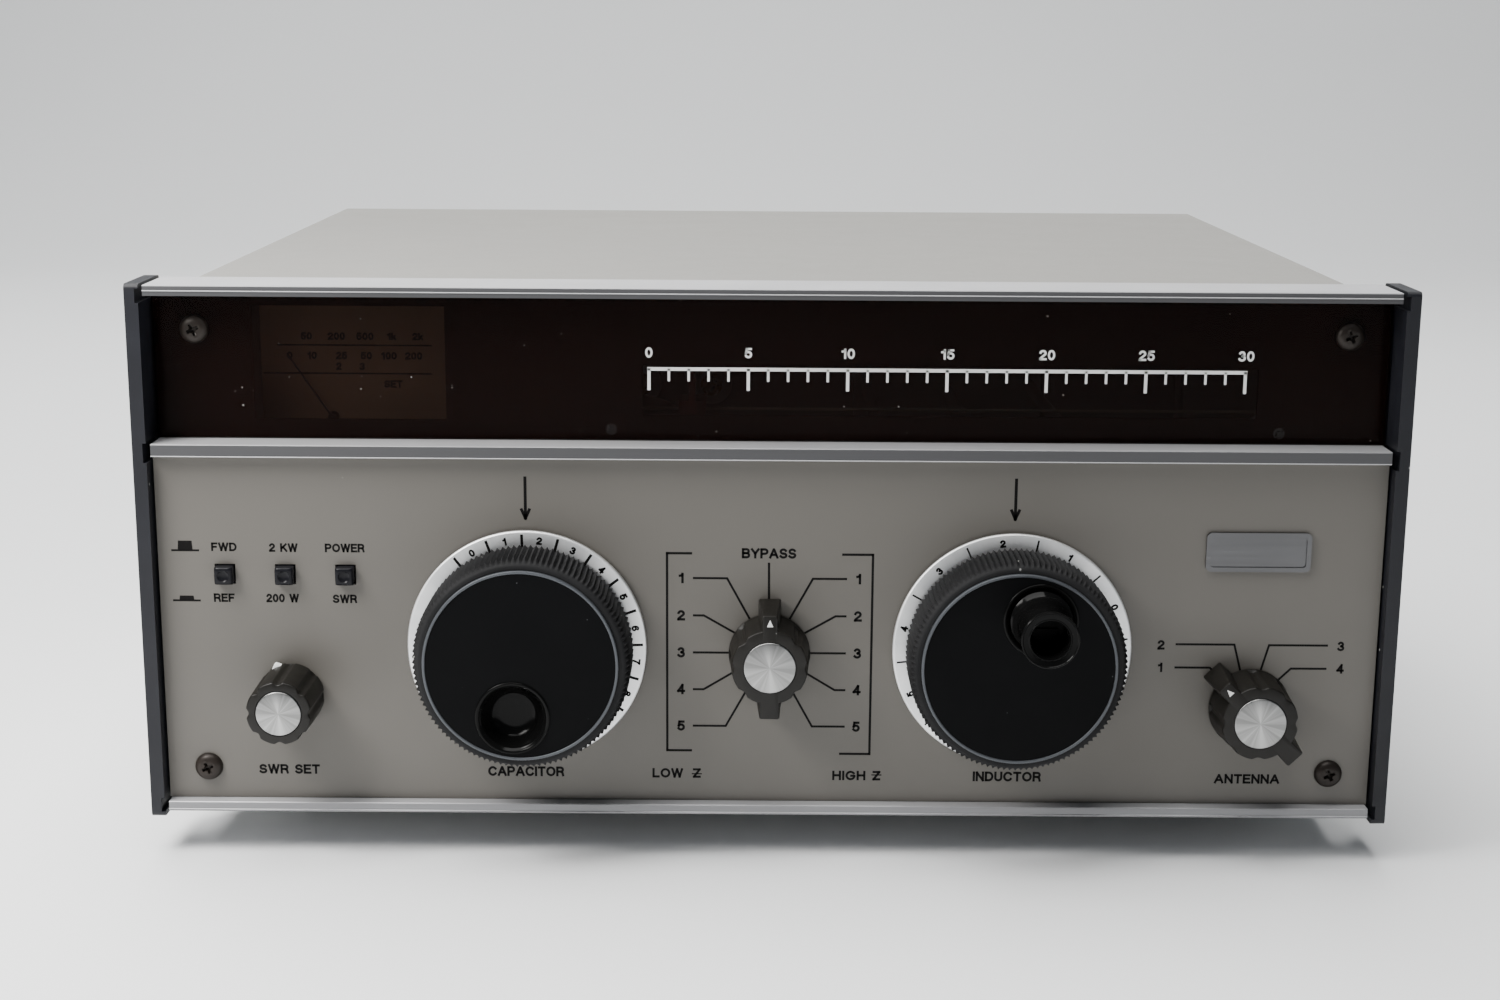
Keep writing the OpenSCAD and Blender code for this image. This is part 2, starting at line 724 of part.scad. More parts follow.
// A hollow spinner: a narrow foot in the cup, a collar level with the cup's rim, a waist,
// and a flare to its open end.
module crank_handle() {
    foot = cup_high - cup_depth + 0.3;
    color([0.05, 0.05, 0.05]) front(inductor_axis) translate(cup_place(inductor_cup_angle))
        difference() {
            rotate_extrude() polygon([
                [0, foot], [4.6, foot], [4.6, cup_high - 2.4], [7.8, cup_high - 0.2], [8, cup_high + 0.1],
                [8, cup_high + 0.6], [6.4, cup_high + 3], [6, cup_high + 5.5], [6.2, cup_high + 10],
                [7.2, handle_high - 2], [7.4, handle_high - 0.8], [7.1, handle_high], [0, handle_high]
            ]);
            translate([0, 0, 20]) cylinder(h = 30, r = 4.7);
            translate([0, 0, handle_high - 0.9]) cylinder(h = 1, r1 = 4.7, r2 = 5.7);
            cylinder(h = 30, r = 2 + fit);
        }
}

// ---------- roller inductor ----------

module inductor_frame() {
    color([0.8, 0.8, 0.78]) place() {
        difference() {
            union() {
                for (y = [28, plate_y1]) {
                    block([big_x - 33, y, chassis_top + gap], [big_x + 33, y + 2, big_z + 45]);
                }
                for (y = [29, plate_y1 - 9]) {
                    block([big_x - 33, y, chassis_top + gap], [big_x + 33, y + 10, chassis_top + 2]);
                }
            }
            bar(inductor_axis, 20, plate_y1 + 9, shaft_r + fit);
            bar([big_x, roller_z], 20, plate_y1 + 9, 2.5);
            for (s = [-1, 1], z = [12, 84]) bar([big_x + s * 29, z], 20, plate_y1 + 9, 2);
        }
        bar([big_x, roller_z], 26.5, plate_y1 + 3.5, 2.5);
        for (s = [-1, 1], z = [12, 84]) bar([big_x + s * 29, z], 27, plate_y1 + 3, 2);
    }
}

module coil_form() {
    color("ivory") place() difference() {
        bar(inductor_axis, coil_y0, coil_y1, coil_r - 0.2);
        bar(inductor_axis, coil_y0 + 4, coil_y1 - 4, coil_r - 4);
        bar(inductor_axis, coil_y0 - 1, coil_y1 + 1, shaft_r + fit);
    }
}

// One ring of wire for each turn, around the form.
module coil_winding() {
    color([0.85, 0.83, 0.78]) place() translate([big_x, winding_y0, big_z]) rotate([-90, 0, 0]) {
        for (i = [0 : turns]) {
            translate([0, 0, i * turn_pitch]) rotate_extrude()
                translate([winding_r, 0]) circle(r = wire_r, $fn = 16);
        }
    }
}

module inductor_shaft() {
    color("silver") place() {
        bar(inductor_axis, -shaft_tip, gear_y, shaft_r);
        bar(inductor_axis, gear_y + gear_t, plate_y1 + 4, shaft_r);
        translate([big_x, gear_y + gear_t, big_z]) rotate([90, 0, 0])
            linear_extrude(gear_t) polygon(gear_outline(pinion_teeth, gear_m));
    }
}

module contact_roller() {
    color("peru") place() translate([big_x, roller_y, roller_z]) rotate([-90, 0, 0]) difference() {
        union() {
            translate([0, 0, -4]) cylinder(h = 8, r = 4.5);
            translate([0, 0, -3]) cylinder(h = 2.2, r1 = 5, r2 = roller_r);
            translate([0, 0, 0.8]) cylinder(h = 2.2, r1 = roller_r, r2 = 5);
            translate([0, 0, -0.8]) cylinder(h = 1.6, r = roller_r - 0.6);
        }
        translate([0, 0, -9]) cylinder(h = 20, r = 2.5 + fit);
    }
}

// ---------- variable capacitor ----------

// Half a disc on the side of -Z, with a clearance notch around the shaft.
module half_plate(y, outer, inner) {
    translate([0, y, 0]) rotate([-90, 0, 0]) linear_extrude(1) difference() {
        intersection() {
            circle(r = outer);
            translate([-outer, 0]) square([2 * outer, outer]);
        }
        circle(r = inner);
    }
}

module capacitor_frame() {
    color([0.78, 0.78, 0.75]) place() {
        difference() {
            for (y = [30, capacitor_y1]) {
                block([-big_x - 35, y, chassis_top + gap], [-big_x + 35, y + 2, big_z + 37]);
            }
            bar(capacitor_axis, 20, capacitor_y1 + 9, shaft_r + fit);
        }
        for (y = [31, capacitor_y1 - 6]) {
            block([-big_x - 35, y, chassis_top + gap], [-big_x + 35, y + 7, chassis_top + 2]);
        }
        for (s = [-1, 1]) {
            block([-big_x + s * 31 - 2, 32, big_z + 31], [-big_x + s * 31 + 2, capacitor_y1, big_z + 35]);
        }
    }
}

module stator_plates() {
    rod_places = [[-31, -2], [0, -31], [31, -2]];
    color([0.82, 0.82, 0.8]) place() translate([-big_x, 0, big_z]) {
        difference() {
            for (i = [0 : plate_count]) half_plate(38 + i * plate_pitch, 33, 7);
            for (p = rod_places) bar(p, 30, capacitor_y1, 1.6);
        }
        for (p = rod_places) bar(p, 32.1, capacitor_y1 - 0.1, 1.6);
    }
}

module capacitor_rotor() {
    color([0.86, 0.86, 0.84]) place() translate([-big_x, 0, big_z]) {
        rotate([0, -rotor_now, 0]) rotate([0, 180, 0])
            for (i = [0 : plate_count - 1]) half_plate(42 + i * plate_pitch, rotor_r, shaft_r - 0.2);
        bar([0, 0], -shaft_tip, capacitor_y1 + 6, shaft_r);
    }
}

// ---------- switches ----------

// Threaded bush with its nut, index plate, wafers and two spacer rods.
module rotary_switch(axis, wafer_r, wafers) {
    place() {
        difference() {
            union() {
                bar(axis, 8, sub_back + 0.5, 4.6);
                translate([axis[0] - wafer_r + 2, sub_back + gap, axis[1] - 8])
                    cube([2 * wafer_r - 4, 2, 16]);
                for (i = [0 : wafers - 1]) bar(axis, 32 + 14 * i, 34 + 14 * i, wafer_r);
                for (s = [-1, 1]) {
                    bar([axis[0] + s * (wafer_r - 4.2), axis[1]], 15, 36 + 14 * (wafers - 1), 1.5);
                }
            }
            bar(axis, 0, 30, shaft_r + fit);
            for (i = [0 : wafers - 1]) bar(axis, 31 + 14 * i, 35 + 14 * i, wafer_r * 0.52);
        }
        translate([axis[0], 11.9, axis[1]]) rotate([90, 0, 0]) difference() {
            cylinder(h = 2.2, r = 7, $fn = 6);
            translate([0, 0, -1]) cylinder(h = 5, r = 4.6 + fit);
        }
    }
}

module switch_shaft(axis, wafer_r, wafers) {
    place() {
        bar(axis, -6, 38 + 14 * (wafers - 1), shaft_r);
        for (i = [0 : wafers - 1]) bar(axis, 32.2 + 14 * i, 33.8 + 14 * i, wafer_r * 0.52 - 0.4);
    }
}

module mode_switch() color("peru") rotary_switch(mode_axis, 21, 3);
module mode_shaft() color("silver") switch_shaft(mode_axis, 21, 3);
module antenna_switch() color("peru") rotary_switch(antenna_axis, 17, 2);
module antenna_shaft() color("silver") switch_shaft(antenna_axis, 17, 2);

// A fluted knob with a round foot and a pointer wing across it. The wing's pointing end is the narrow one.
module wing_knob(axis, turn) {
    height = knob_high - knob_low;
    color([0.14, 0.12, 0.1]) front(axis) rotate(turn) translate([0, 0, knob_low]) difference() {
        union() {
            intersection() {
                linear_extrude(height) polygon(lobe_outline(10.6, 1, 8, 12));
                cylinder(h = height, r1 = 10.8, r2 = 9.8);
            }
            cylinder(h = 1, r = 10.8);
            hull() {
                linear_extrude(0.2) polygon([[-3, 14.9], [3, 14.9], [3.2, -14.9], [-3.2, -14.9]]);
                translate([0, 0, height - 0.2])
                    linear_extrude(0.2) polygon([[-2, 13.9], [2, 13.9], [2.6, -13.9], [-2.6, -13.9]]);
            }
        }
        translate([0, 0, -1]) cylinder(h = 10.6, r = shaft_r + fit);
        translate([0, 0, height - 0.8]) cylinder(h = 2, r = 6.8);
    }
}

module knob_cap(axis, r, base) {
    color("gainsboro") front(axis) translate([0, 0, base]) union() {
        cylinder(h = 0.8, r = r);
        translate([0, 0, 0.8]) cylinder(h = 0.25, r1 = r, r2 = r - 0.25);
    }
}

module mode_knob() wing_knob(mode_axis, 0);
module mode_cap() knob_cap(mode_axis, 6.7, knob_high - 0.75);
module antenna_knob() wing_knob(antenna_axis, antenna_turn);
module antenna_cap() knob_cap(antenna_axis, 6.7, knob_high - 0.75);

module swr_pot() {
    color([0.5, 0.5, 0.48]) place() {
        difference() {
            union() {
                bar(swr_axis, 8, sub_back + 1, 4.6);
                bar(swr_axis, sub_back + gap, 26, 11);
            }
            bar(swr_axis, 0, 24, shaft_r + fit);
        }
        translate([swr_axis[0], 11.9, swr_axis[1]]) rotate([90, 0, 0]) difference() {
            cylinder(h = 2.2, r = 7, $fn = 6);
            translate([0, 0, -1]) cylinder(h = 5, r = 4.6 + fit);
        }
    }
}

module swr_shaft() color("silver") place() bar(swr_axis, -6, 23.5, shaft_r);

// The pointer stands between two of the grip's hollows.
module swr_knob() {
    height = swr_high - knob_low;
    lobes = 8;
    color([0.14, 0.12, 0.1]) front(swr_axis) rotate(swr_turn) translate([0, 0, knob_low]) difference() {
        union() {
            intersection() {
                linear_extrude(height) rotate(180 / lobes) polygon(lobe_outline(8.7, 0.8, lobes, 12));
                cylinder(h = height, r1 = 8.8, r2 = 8.4);
            }
            linear_extrude(1.2) polygon([[-4, 6.5], [0, 9.8], [4, 6.5]]);
        }
        translate([0, 0, -1]) cylinder(h = 10.6, r = shaft_r + fit);
        translate([0, 0, height - 0.8]) cylinder(h = 2, r = 6);
    }
}

module swr_cap() knob_cap(swr_axis, 5.9, swr_high - 0.75);

module button_switches() {
    color([0.3, 0.3, 0.32]) place() difference() {
        for (i = [-1 : 1]) {
            translate([-button_x + i * button_pitch, 0, button_z])
                block([-4.5, sub_back + gap, -5], [4.5, 40, 5]);
        }
        for (i = [-1 : 1]) {
            translate([-button_x + i * button_pitch, 0, button_z]) block([-1.9, 10, -1.9], [1.9, 33, 1.9]);
        }
    }
}

// A square cap with a dished face on its plunger.
module push_button(i) {
    cap_front = 1.2;
    half = button_w / 2;
    dish_r = 2.9;
    color([0.08, 0.08, 0.1]) place() translate([-button_x + i * button_pitch, 0, button_z]) difference() {
        union() {
            block([-half, cap_front, -half], [half, 7, half]);
            block([-1.8, 7, -1.8], [1.8, 28, 1.8]);
        }
        translate([0, cap_front - dish_r + 0.5, 0]) sphere(r = dish_r);
    }
}

module left_button() push_button(-1);
module middle_button() push_button(0);
module right_button() push_button(1);

// ---------- rear ----------

module rear_sockets() {
    color("silver") place() {
        for (p = socket_places) {
            difference() {
                union() {
                    translate([p[0], rear_face + 1.6, p[1]]) rotate([90, 0, 0])
                        linear_extrude(1.6) round_rect([25.4, 25.4], 2);
                    bar(p, rear_y - 6, rear_face + 14, socket_r - 0.5);
                    bar(p, rear_face + 1.6, rear_face + 13, socket_r);
                }
                bar(p, rear_y - 7, rear_face + 15, 6.2);
                for (sx = [-1, 1], sz = [-1, 1]) {
                    bar([p[0] + 9.1 * sx, p[1] + 9.1 * sz], rear_face - 1, rear_face + 3, 1.6);
                }
            }
        }
        difference() {
            union() {
                bar(jack_place, rear_y - 8, rear_face + 5, 4);
                bar(jack_place, rear_face, rear_face + 1.5, 6);
            }
            bar(jack_place, rear_face - 4, rear_face + 6, 1.7);
        }
    }
}

module socket_inserts() {
    color("white") place() for (p = socket_places) {
        difference() {
            bar(p, rear_y - 5, insert_y, 6.15);
            bar(p, rear_face, insert_y + 1, 3);
        }
        difference() {
            bar(p, rear_y - 10, insert_y, 3);
            bar(p, rear_face, insert_y + 1, contact_r);
        }
    }
}

module terminal_insulators() {
    color("ivory") place() for (p = terminal_places) {
        difference() {
            union() {
                translate([p[0], rear_face, p[1]]) rotate([-90, 0, 0]) cylinder(h = 8, r1 = 8.5, r2 = 5.5);
                bar(p, rear_y, rear_face + 0.5, 5);
                bar(p, rear_y - 5, rear_y - 0.05, 7.5);
            }
            bar(p, rear_y - 6, rear_face + 9, 2 + fit);
        }
    }
}

// A wing nut with its bore along Y, drawn from y = 0 towards the back.
module wing_nut(bore) {
    rotate([-90, 0, 0]) difference() {
        union() {
            cylinder(h = 3.6, r1 = bore + 2.4, r2 = bore + 1.6);
            for (s = [-1, 1]) {
                translate([s * (bore + 3.6), 0, 2.6]) rotate([90, 0, 0]) translate([0, 0, -0.7])
                    cylinder(h = 1.4, r = 2.6);
            }
        }
        translate([0, 0, -5]) cylinder(h = 20, r = bore + fit);
    }
}

module terminal_studs() {
    color("goldenrod") place() {
        for (p = terminal_places) {
            bar(p, rear_y - 12, case_d + rear_reach, 2);
            translate([p[0], rear_face + 8.1, p[1]]) wing_nut(2);
            translate([p[0], rear_y - 7.3, p[1]]) rotate([-90, 0, 0]) tube(2.2, 4, 2 + fit);
        }
        bar(ground_place, rear_y - 8, case_d + rear_reach - 2, 3);
        translate([ground_place[0], rear_face + 6, ground_place[1]]) wing_nut(3);
        bar(ground_place, rear_face + fit, rear_face + 2.4, 5.5);
        bar(ground_place, rear_y - 3, rear_y - fit, 5.5);
    }
}

module swr_board() {
    color([0.2, 0.35, 0.2]) place() {
        translate([-124, 0, 0]) {
            block([-24, 186, 12], [24, 240, 13.6]);
            for (x = [-20, 20], y = [190, 236]) {
                translate([x, y, chassis_top + gap]) cylinder(h = 12, r = 2.5);
            }
            translate([0, 210, 21.5]) rotate([90, 0, 0]) rotate_extrude()
                translate([6, 0]) circle(r = 2.4);
            for (x = [-14, -7, 10, 16]) translate([x, 222, 13.5]) cylinder(h = 7, r = 2.5);
        }
    }
}

module balun() {
    color([0.35, 0.3, 0.25]) place() translate([-46, 0, 0]) {
        translate([0, 214, 52]) rotate([90, 0, 0]) rotate_extrude() translate([20, 0]) circle(r = 7);
        block([-6, 212, chassis_top + gap], [6, 216, 28]);
    }
}

bottom_chassis();
top_cover();
rear_panel();
sub_panel();
front_panel();
window();
side_rails();
trim_strips();
front_screws();
case_screws();
feet();
badge();
meter_case();
meter_dial();
meter_needle();
scale_lamps();
pointer_rail();
turns_pointer();
pointer_gear();
dial_cord();
inductor_frame();
coil_form();
coil_winding();
inductor_shaft();
contact_roller();
inductor_skirt();
inductor_knob();
inductor_face();
inductor_cup();
crank_pin();
crank_handle();
capacitor_frame();
stator_plates();
capacitor_rotor();
capacitor_skirt();
capacitor_knob();
capacitor_face();
capacitor_cup();
mode_switch();
mode_shaft();
mode_knob();
mode_cap();
antenna_switch();
antenna_shaft();
antenna_knob();
antenna_cap();
swr_pot();
swr_shaft();
swr_knob();
swr_cap();
button_switches();
left_button();
middle_button();
right_button();
rear_sockets();
socket_inserts();
terminal_insulators();
terminal_studs();
swr_board();
balun();
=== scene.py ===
import math

import bmesh
import bpy
from mathutils import Matrix, Vector


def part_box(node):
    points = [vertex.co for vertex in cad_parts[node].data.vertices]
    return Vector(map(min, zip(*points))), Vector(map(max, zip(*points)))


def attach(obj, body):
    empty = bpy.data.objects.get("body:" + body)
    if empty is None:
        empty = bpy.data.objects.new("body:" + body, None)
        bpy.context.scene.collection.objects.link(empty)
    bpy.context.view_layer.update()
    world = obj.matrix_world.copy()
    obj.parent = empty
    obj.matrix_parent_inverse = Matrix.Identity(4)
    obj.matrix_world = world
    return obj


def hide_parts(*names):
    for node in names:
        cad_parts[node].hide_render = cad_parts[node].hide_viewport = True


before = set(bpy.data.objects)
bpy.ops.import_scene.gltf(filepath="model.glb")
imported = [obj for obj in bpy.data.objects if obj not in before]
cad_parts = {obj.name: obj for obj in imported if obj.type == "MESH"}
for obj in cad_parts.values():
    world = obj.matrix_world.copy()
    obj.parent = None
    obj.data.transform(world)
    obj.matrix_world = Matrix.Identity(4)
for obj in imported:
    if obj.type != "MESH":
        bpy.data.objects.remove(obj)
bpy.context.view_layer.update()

# Lengths are millimetres in the case frame: x from the middle, y back from the front edges of
# the side rails, z up from their bottom ends. Blender's own lengths are metres.
MM = 0.001
rail_low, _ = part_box("side_rails")
ORIGIN = Vector((0.0, rail_low.y, rail_low.z))

# Depths of the faces that carry printing.
PANEL = 4.0
WINDOW = 10.0
METER_DIAL = 23.0
SKIRT_FACE = 1.5
# Axes of the controls, as (x, z).
CAPACITOR = (-64.0, 47.3)
INDUCTOR = (64.0, 47.3)
MODE = (0.0, 45.7)
ANTENNA = (127.7, 31.5)
SWR = (-127.0, 33.4)
BUTTONS = (-143.35, -127.5, -111.65)
BUTTON_Z = 66.2
CUP_RADIUS = 14.0
CAPACITOR_CUP_ANGLE = 189
INDUCTOR_CUP_ANGLE = 21
NIB_ANGLE = -22.5
# The turns scale: its zero, one turn, its line and the ends of its marks.
SCALE_X0 = -31.95
TURN_PITCH = 5.18
SCALE_Z = 120.5
SCALE_LONG_Z = 115.3
SCALE_SHORT_Z = 117.6
# The five rows of figures beside the mode knob.
MODE_ROW_Z = 65.9
MODE_ROW_STEP = 10.17
LEADER_RADIUS = 10.0
# Front screws, as (x, z, depth of the face under the head).
SCREWS = ((-150, 130.2, WINDOW), (150, 130.2, WINDOW), (-150, 13, PANEL), (150, 13, PANEL))


def at(x, y, z):
    """The place in Blender's metres."""
    return ORIGIN + Vector((x, y, z)) * MM


# ---------- materials ----------

class Surface:
    """A Principled material whose colour, roughness and bump come from noise in object space."""

    def __init__(self, name, color, rough, metal=0.0):
        self.mat = bpy.data.materials.new(name)
        self.mat.use_nodes = True
        self.tree = self.mat.node_tree
        self.tree.nodes.clear()
        output = self.add("ShaderNodeOutputMaterial")
        self.bsdf = self.add("ShaderNodeBsdfPrincipled")
        self.link(self.bsdf.outputs[0], output.inputs["Surface"])
        self.bsdf.inputs["Metallic"].default_value = metal
        self.bsdf.inputs["Roughness"].default_value = rough
        self.bsdf.inputs["Base Color"].default_value = (*color, 1)
        self.coord = self.add("ShaderNodeTexCoord")
        self.color = color
        self.rough = rough
        self.tint = None
        self.height = None

    def add(self, kind, **values):
        node = self.tree.nodes.new(kind)
        for key, value in values.items():
            setattr(node, key, value)
        return node

    def link(self, a, b):
        self.tree.links.new(a, b)

    def below(self):
        """What the next layer of colour goes over."""
        return self.color if self.tint is None else self.tint

    def paint(self, tint):
        self.tint = tint
        self.link(tint, self.bsdf.inputs["Base Color"])
        return self

    def relief(self, node):
        """Puts a bump node over the ones before it."""
        if self.height is not None:
            self.link(self.height, node.inputs["Normal"])
        self.height = node.outputs[0]
        self.link(self.height, self.bsdf.inputs["Normal"])
        return self

    def product(self, a, b):
        node = self.add("ShaderNodeMath", operation="MULTIPLY")
        self.link(a, node.inputs[0])
        self.link(b, node.inputs[1])
        return node.outputs[0]

    def noise(self, scale, detail=4.0, stretch=(1, 1, 1), offset=0.0):
        mapping = self.add("ShaderNodeMapping")
        mapping.inputs["Scale"].default_value = stretch
        mapping.inputs["Location"].default_value = (offset, offset * 0.7, -offset)
        self.link(self.coord.outputs["Object"], mapping.inputs["Vector"])
        tex = self.add("ShaderNodeTexNoise")
        tex.inputs["Scale"].default_value = scale
        tex.inputs["Detail"].default_value = detail
        self.link(mapping.outputs[0], tex.inputs["Vector"])
        return tex.outputs["Fac"]

    def span(self, value, low, high, from_low=0.3, from_high=0.7):
        node = self.add("ShaderNodeMapRange")
        ends = {"From Min": from_low, "From Max": from_high, "To Min": low, "To Max": high}
        for key, number in ends.items():
            node.inputs[key].default_value = number
        self.link(value, node.inputs["Value"])
        return node.outputs["Result"]

    def blend(self, fac, a, b):
        node = self.add("ShaderNodeMix", data_type="RGBA")
        self.link(fac, node.inputs["Factor"])
        for socket, value in (("A", a), ("B", b)):
            target = [s for s in node.inputs if s.name == socket and s.type == "RGBA"][0]
            if isinstance(value, tuple):
                target.default_value = (*value, 1)
            else:
                self.link(value, target)
        return [s for s in node.outputs if s.type == "RGBA"][0]

    def mottle(self, amount, scale):
        """Varies the colour by amount, up and down."""
        fac = self.span(self.noise(scale), 0.0, 1.0)
        dark = tuple(c * (1 - amount) for c in self.color)
        light = tuple(min(1.0, c * (1 + amount)) for c in self.color)
        tint = self.blend(fac, dark, light)
        if self.tint is not None:
            mix = self.add("ShaderNodeMix", data_type="RGBA")
            mix.inputs["Factor"].default_value = 0.5
            sockets = [s for s in mix.inputs if s.type == "RGBA"]
            self.link(self.tint, sockets[0])
            self.link(tint, sockets[1])
            tint = [s for s in mix.outputs if s.type == "RGBA"][0]
        return self.paint(tint)

    def specks(self, color, scale, radius, share, offset=0.0):
        """Small round specks, such as dust: share is the part of the cells that hold one."""
        mapping = self.add("ShaderNodeMapping")
        mapping.inputs["Location"].default_value = (offset, offset, offset)
        self.link(self.coord.outputs["Object"], mapping.inputs["Vector"])
        cells = self.add("ShaderNodeTexVoronoi")
        cells.inputs["Scale"].default_value = scale
        self.link(mapping.outputs[0], cells.inputs["Vector"])
        near = self.span(cells.outputs["Distance"], 1.0, 0.0, radius * 0.5, radius)
        split = self.add("ShaderNodeSeparateColor")
        self.link(cells.outputs["Color"], split.inputs[0])
        picked = self.span(split.outputs[0], 0.0, 1.0, 1 - share, 1 - share * 0.5)
        return self.paint(self.blend(self.product(near, picked), self.below(), color))

    def gloss(self, amount, scale, stretch=(1, 1, 1)):
        """Varies the roughness by amount, up and down."""
        low, high = max(0.02, self.rough - amount), min(1.0, self.rough + amount)
        rough = self.span(self.noise(scale, 3.0, stretch, offset=3.1), low, high)
        self.link(rough, self.bsdf.inputs["Roughness"])
        return self

    def bump(self, scale, depth, stretch=(1, 1, 1)):
        """Relief of about depth millimetres."""
        node = self.add("ShaderNodeBump")
        node.inputs["Distance"].default_value = depth * MM
        node.inputs["Strength"].default_value = 1.0
        self.link(self.noise(scale, 2.0, stretch, offset=1.7), node.inputs["Height"])
        return self.relief(node)

    def turned(self, axis, pitch, depth, sheen_gain):
        """Fine concentric turning marks about a front axis, and sectors of painted highlight, brighter by
        the given factor, standing in for the sheen of spun metal.
        """
        x, z = axis
        centre = at(x, 0, z)
        mapping = self.add("ShaderNodeMapping")
        mapping.inputs["Location"].default_value = (-centre.x, 0, -centre.z)
        self.link(self.coord.outputs["Object"], mapping.inputs["Vector"])
        split = self.add("ShaderNodeSeparateXYZ")
        self.link(mapping.outputs[0], split.inputs[0])
        flat = self.add("ShaderNodeCombineXYZ")
        self.link(split.outputs[0], flat.inputs[0])
        self.link(split.outputs[2], flat.inputs[1])
        length = self.add("ShaderNodeVectorMath", operation="LENGTH")
        self.link(flat.outputs[0], length.inputs[0])
        rings = self.add("ShaderNodeTexNoise", noise_dimensions="1D")
        rings.inputs["Scale"].default_value = 1000 / pitch
        rings.inputs["Detail"].default_value = 2
        self.link(length.outputs["Value"], rings.inputs["W"])
        node = self.add("ShaderNodeBump")
        node.inputs["Distance"].default_value = depth * MM
        self.link(rings.outputs["Fac"], node.inputs["Height"])
        self.relief(node)
        angle = self.add("ShaderNodeMath", operation="ARCTAN2")
        self.link(split.outputs[0], angle.inputs[0])
        self.link(split.outputs[2], angle.inputs[1])
        twice = self.add("ShaderNodeMath", operation="MULTIPLY")
        twice.inputs[1].default_value = 2.0
        self.link(angle.outputs[0], twice.inputs[0])
        around = self.add("ShaderNodeCombineXYZ")
        for i, kind in enumerate(("COSINE", "SINE")):
            part = self.add("ShaderNodeMath", operation=kind)
            self.link(twice.outputs[0], part.inputs[0])
            self.link(part.outputs[0], around.inputs[i])
        # Painted highlight: brighter sectors in a cross about the axis, for the sheen of spun metal.
        sheen_sectors = self.add("ShaderNodeTexNoise")
        sheen_sectors.inputs["Scale"].default_value = 1.5
        sheen_sectors.inputs["Detail"].default_value = 4
        self.link(around.outputs[0], sheen_sectors.inputs["Vector"])
        fac = self.span(sheen_sectors.outputs["Fac"], 0.0, 1.0, 0.38, 0.66)
        bright = tuple(min(1.0, c * sheen_gain) for c in self.color)
        return self.paint(self.blend(fac, self.below(), bright))

    def worn(self, color, low, high):
        """Rubbed through to another colour along outer edges."""
        shape = self.add("ShaderNodeNewGeometry")
        edge = self.span(shape.outputs["Pointiness"], 0.0, 1.0, low, high)
        rubbed = self.span(self.noise(700, 3.0, offset=5.0), 0.0, 1.0, 0.4, 0.6)
        return self.paint(self.blend(self.product(edge, rubbed), self.below(), color))

    def facing(self, color, low_share):
        """Painted shade: a darker colour on front faces, which get less light than the tops. low_share of
        it is at the bottom, where the face is lighter as a painted reflection of the floor, and all of it
        is at the top.
        """
        split = self.add("ShaderNodeSeparateXYZ")
        self.link(self.coord.outputs["Normal"], split.inputs[0])
        front = self.span(split.outputs[1], 1.0, 0.0, -0.9, -0.5)
        place = self.add("ShaderNodeSeparateXYZ")
        self.link(self.coord.outputs["Object"], place.inputs[0])
        height = self.span(place.outputs[2], low_share, 1.0, 0.03, 0.1)
        return self.paint(self.blend(self.product(front, height), self.below(), color))

    def set(self, **values):
        """Sets shader inputs by name, with _ in place of a space."""
        for key, value in values.items():
            self.bsdf.inputs[key.replace("_", " ")].default_value = value
        return self


def brushed(name, color, rough, stretch, depth=0.004, metal=1.0, dust=0.0):
    """Metal with fine marks drawn out where stretch is small."""
    s = Surface(name, color, rough, metal)
    s.mottle(0.05, 40).gloss(0.07, 900, stretch).bump(1500, depth, stretch)
    if dust:
        s.specks((0.55, 0.54, 0.52), scale=700, radius=0.35, share=dust)
    return s


def moulded(name, color, rough, grain=0.02, scale=1600, vary=0.12, dust=0.0):
    """Plastic, rubber, ink and the like, with a slight grain."""
    s = Surface(name, color, rough)
    s.mottle(vary, 55).gloss(0.06, 120).bump(scale, grain)
    if dust:
        s.specks((0.5, 0.5, 0.48), scale=600, radius=0.3, share=dust)
    return s


ALONG_X = (0.02, 1, 1)
ALONG_Y = (1, 0.02, 1)
EVENLY = (1, 1, 1)

panel_paint = Surface("panel_paint", (0.118, 0.110, 0.098), 0.42)
panel_paint.mottle(0.025, 9).gloss(0.05, 60).bump(2600, 0.012)
panel_paint.specks((0.2, 0.19, 0.17), scale=260, radius=0.09, share=0.03)
panel_paint.set(Specular_IOR_Level=0.4)
cover_paint = Surface("cover_paint", (0.262, 0.255, 0.239), 0.5)
cover_paint.mottle(0.03, 7).mottle(0.06, 900).gloss(0.06, 30).bump(2200, 0.02)
dark_paint = moulded("dark_paint", (0.034, 0.007, 0.004), 0.6)
dark_paint.set(Specular_IOR_Level=0.15)
zinc = brushed("zinc", (0.42, 0.42, 0.41), 0.42, (1, 0.2, 1))
rail_plastic = moulded("rail_plastic", (0.009, 0.0095, 0.013), 0.45, scale=1800, vary=0.2, dust=0.003)
rail_plastic.set(Specular_IOR_Level=0.3)
trim_metal = brushed("trim_metal", (0.5, 0.5, 0.515), 0.5, ALONG_X, depth=0.006, metal=0.4, dust=0.012)
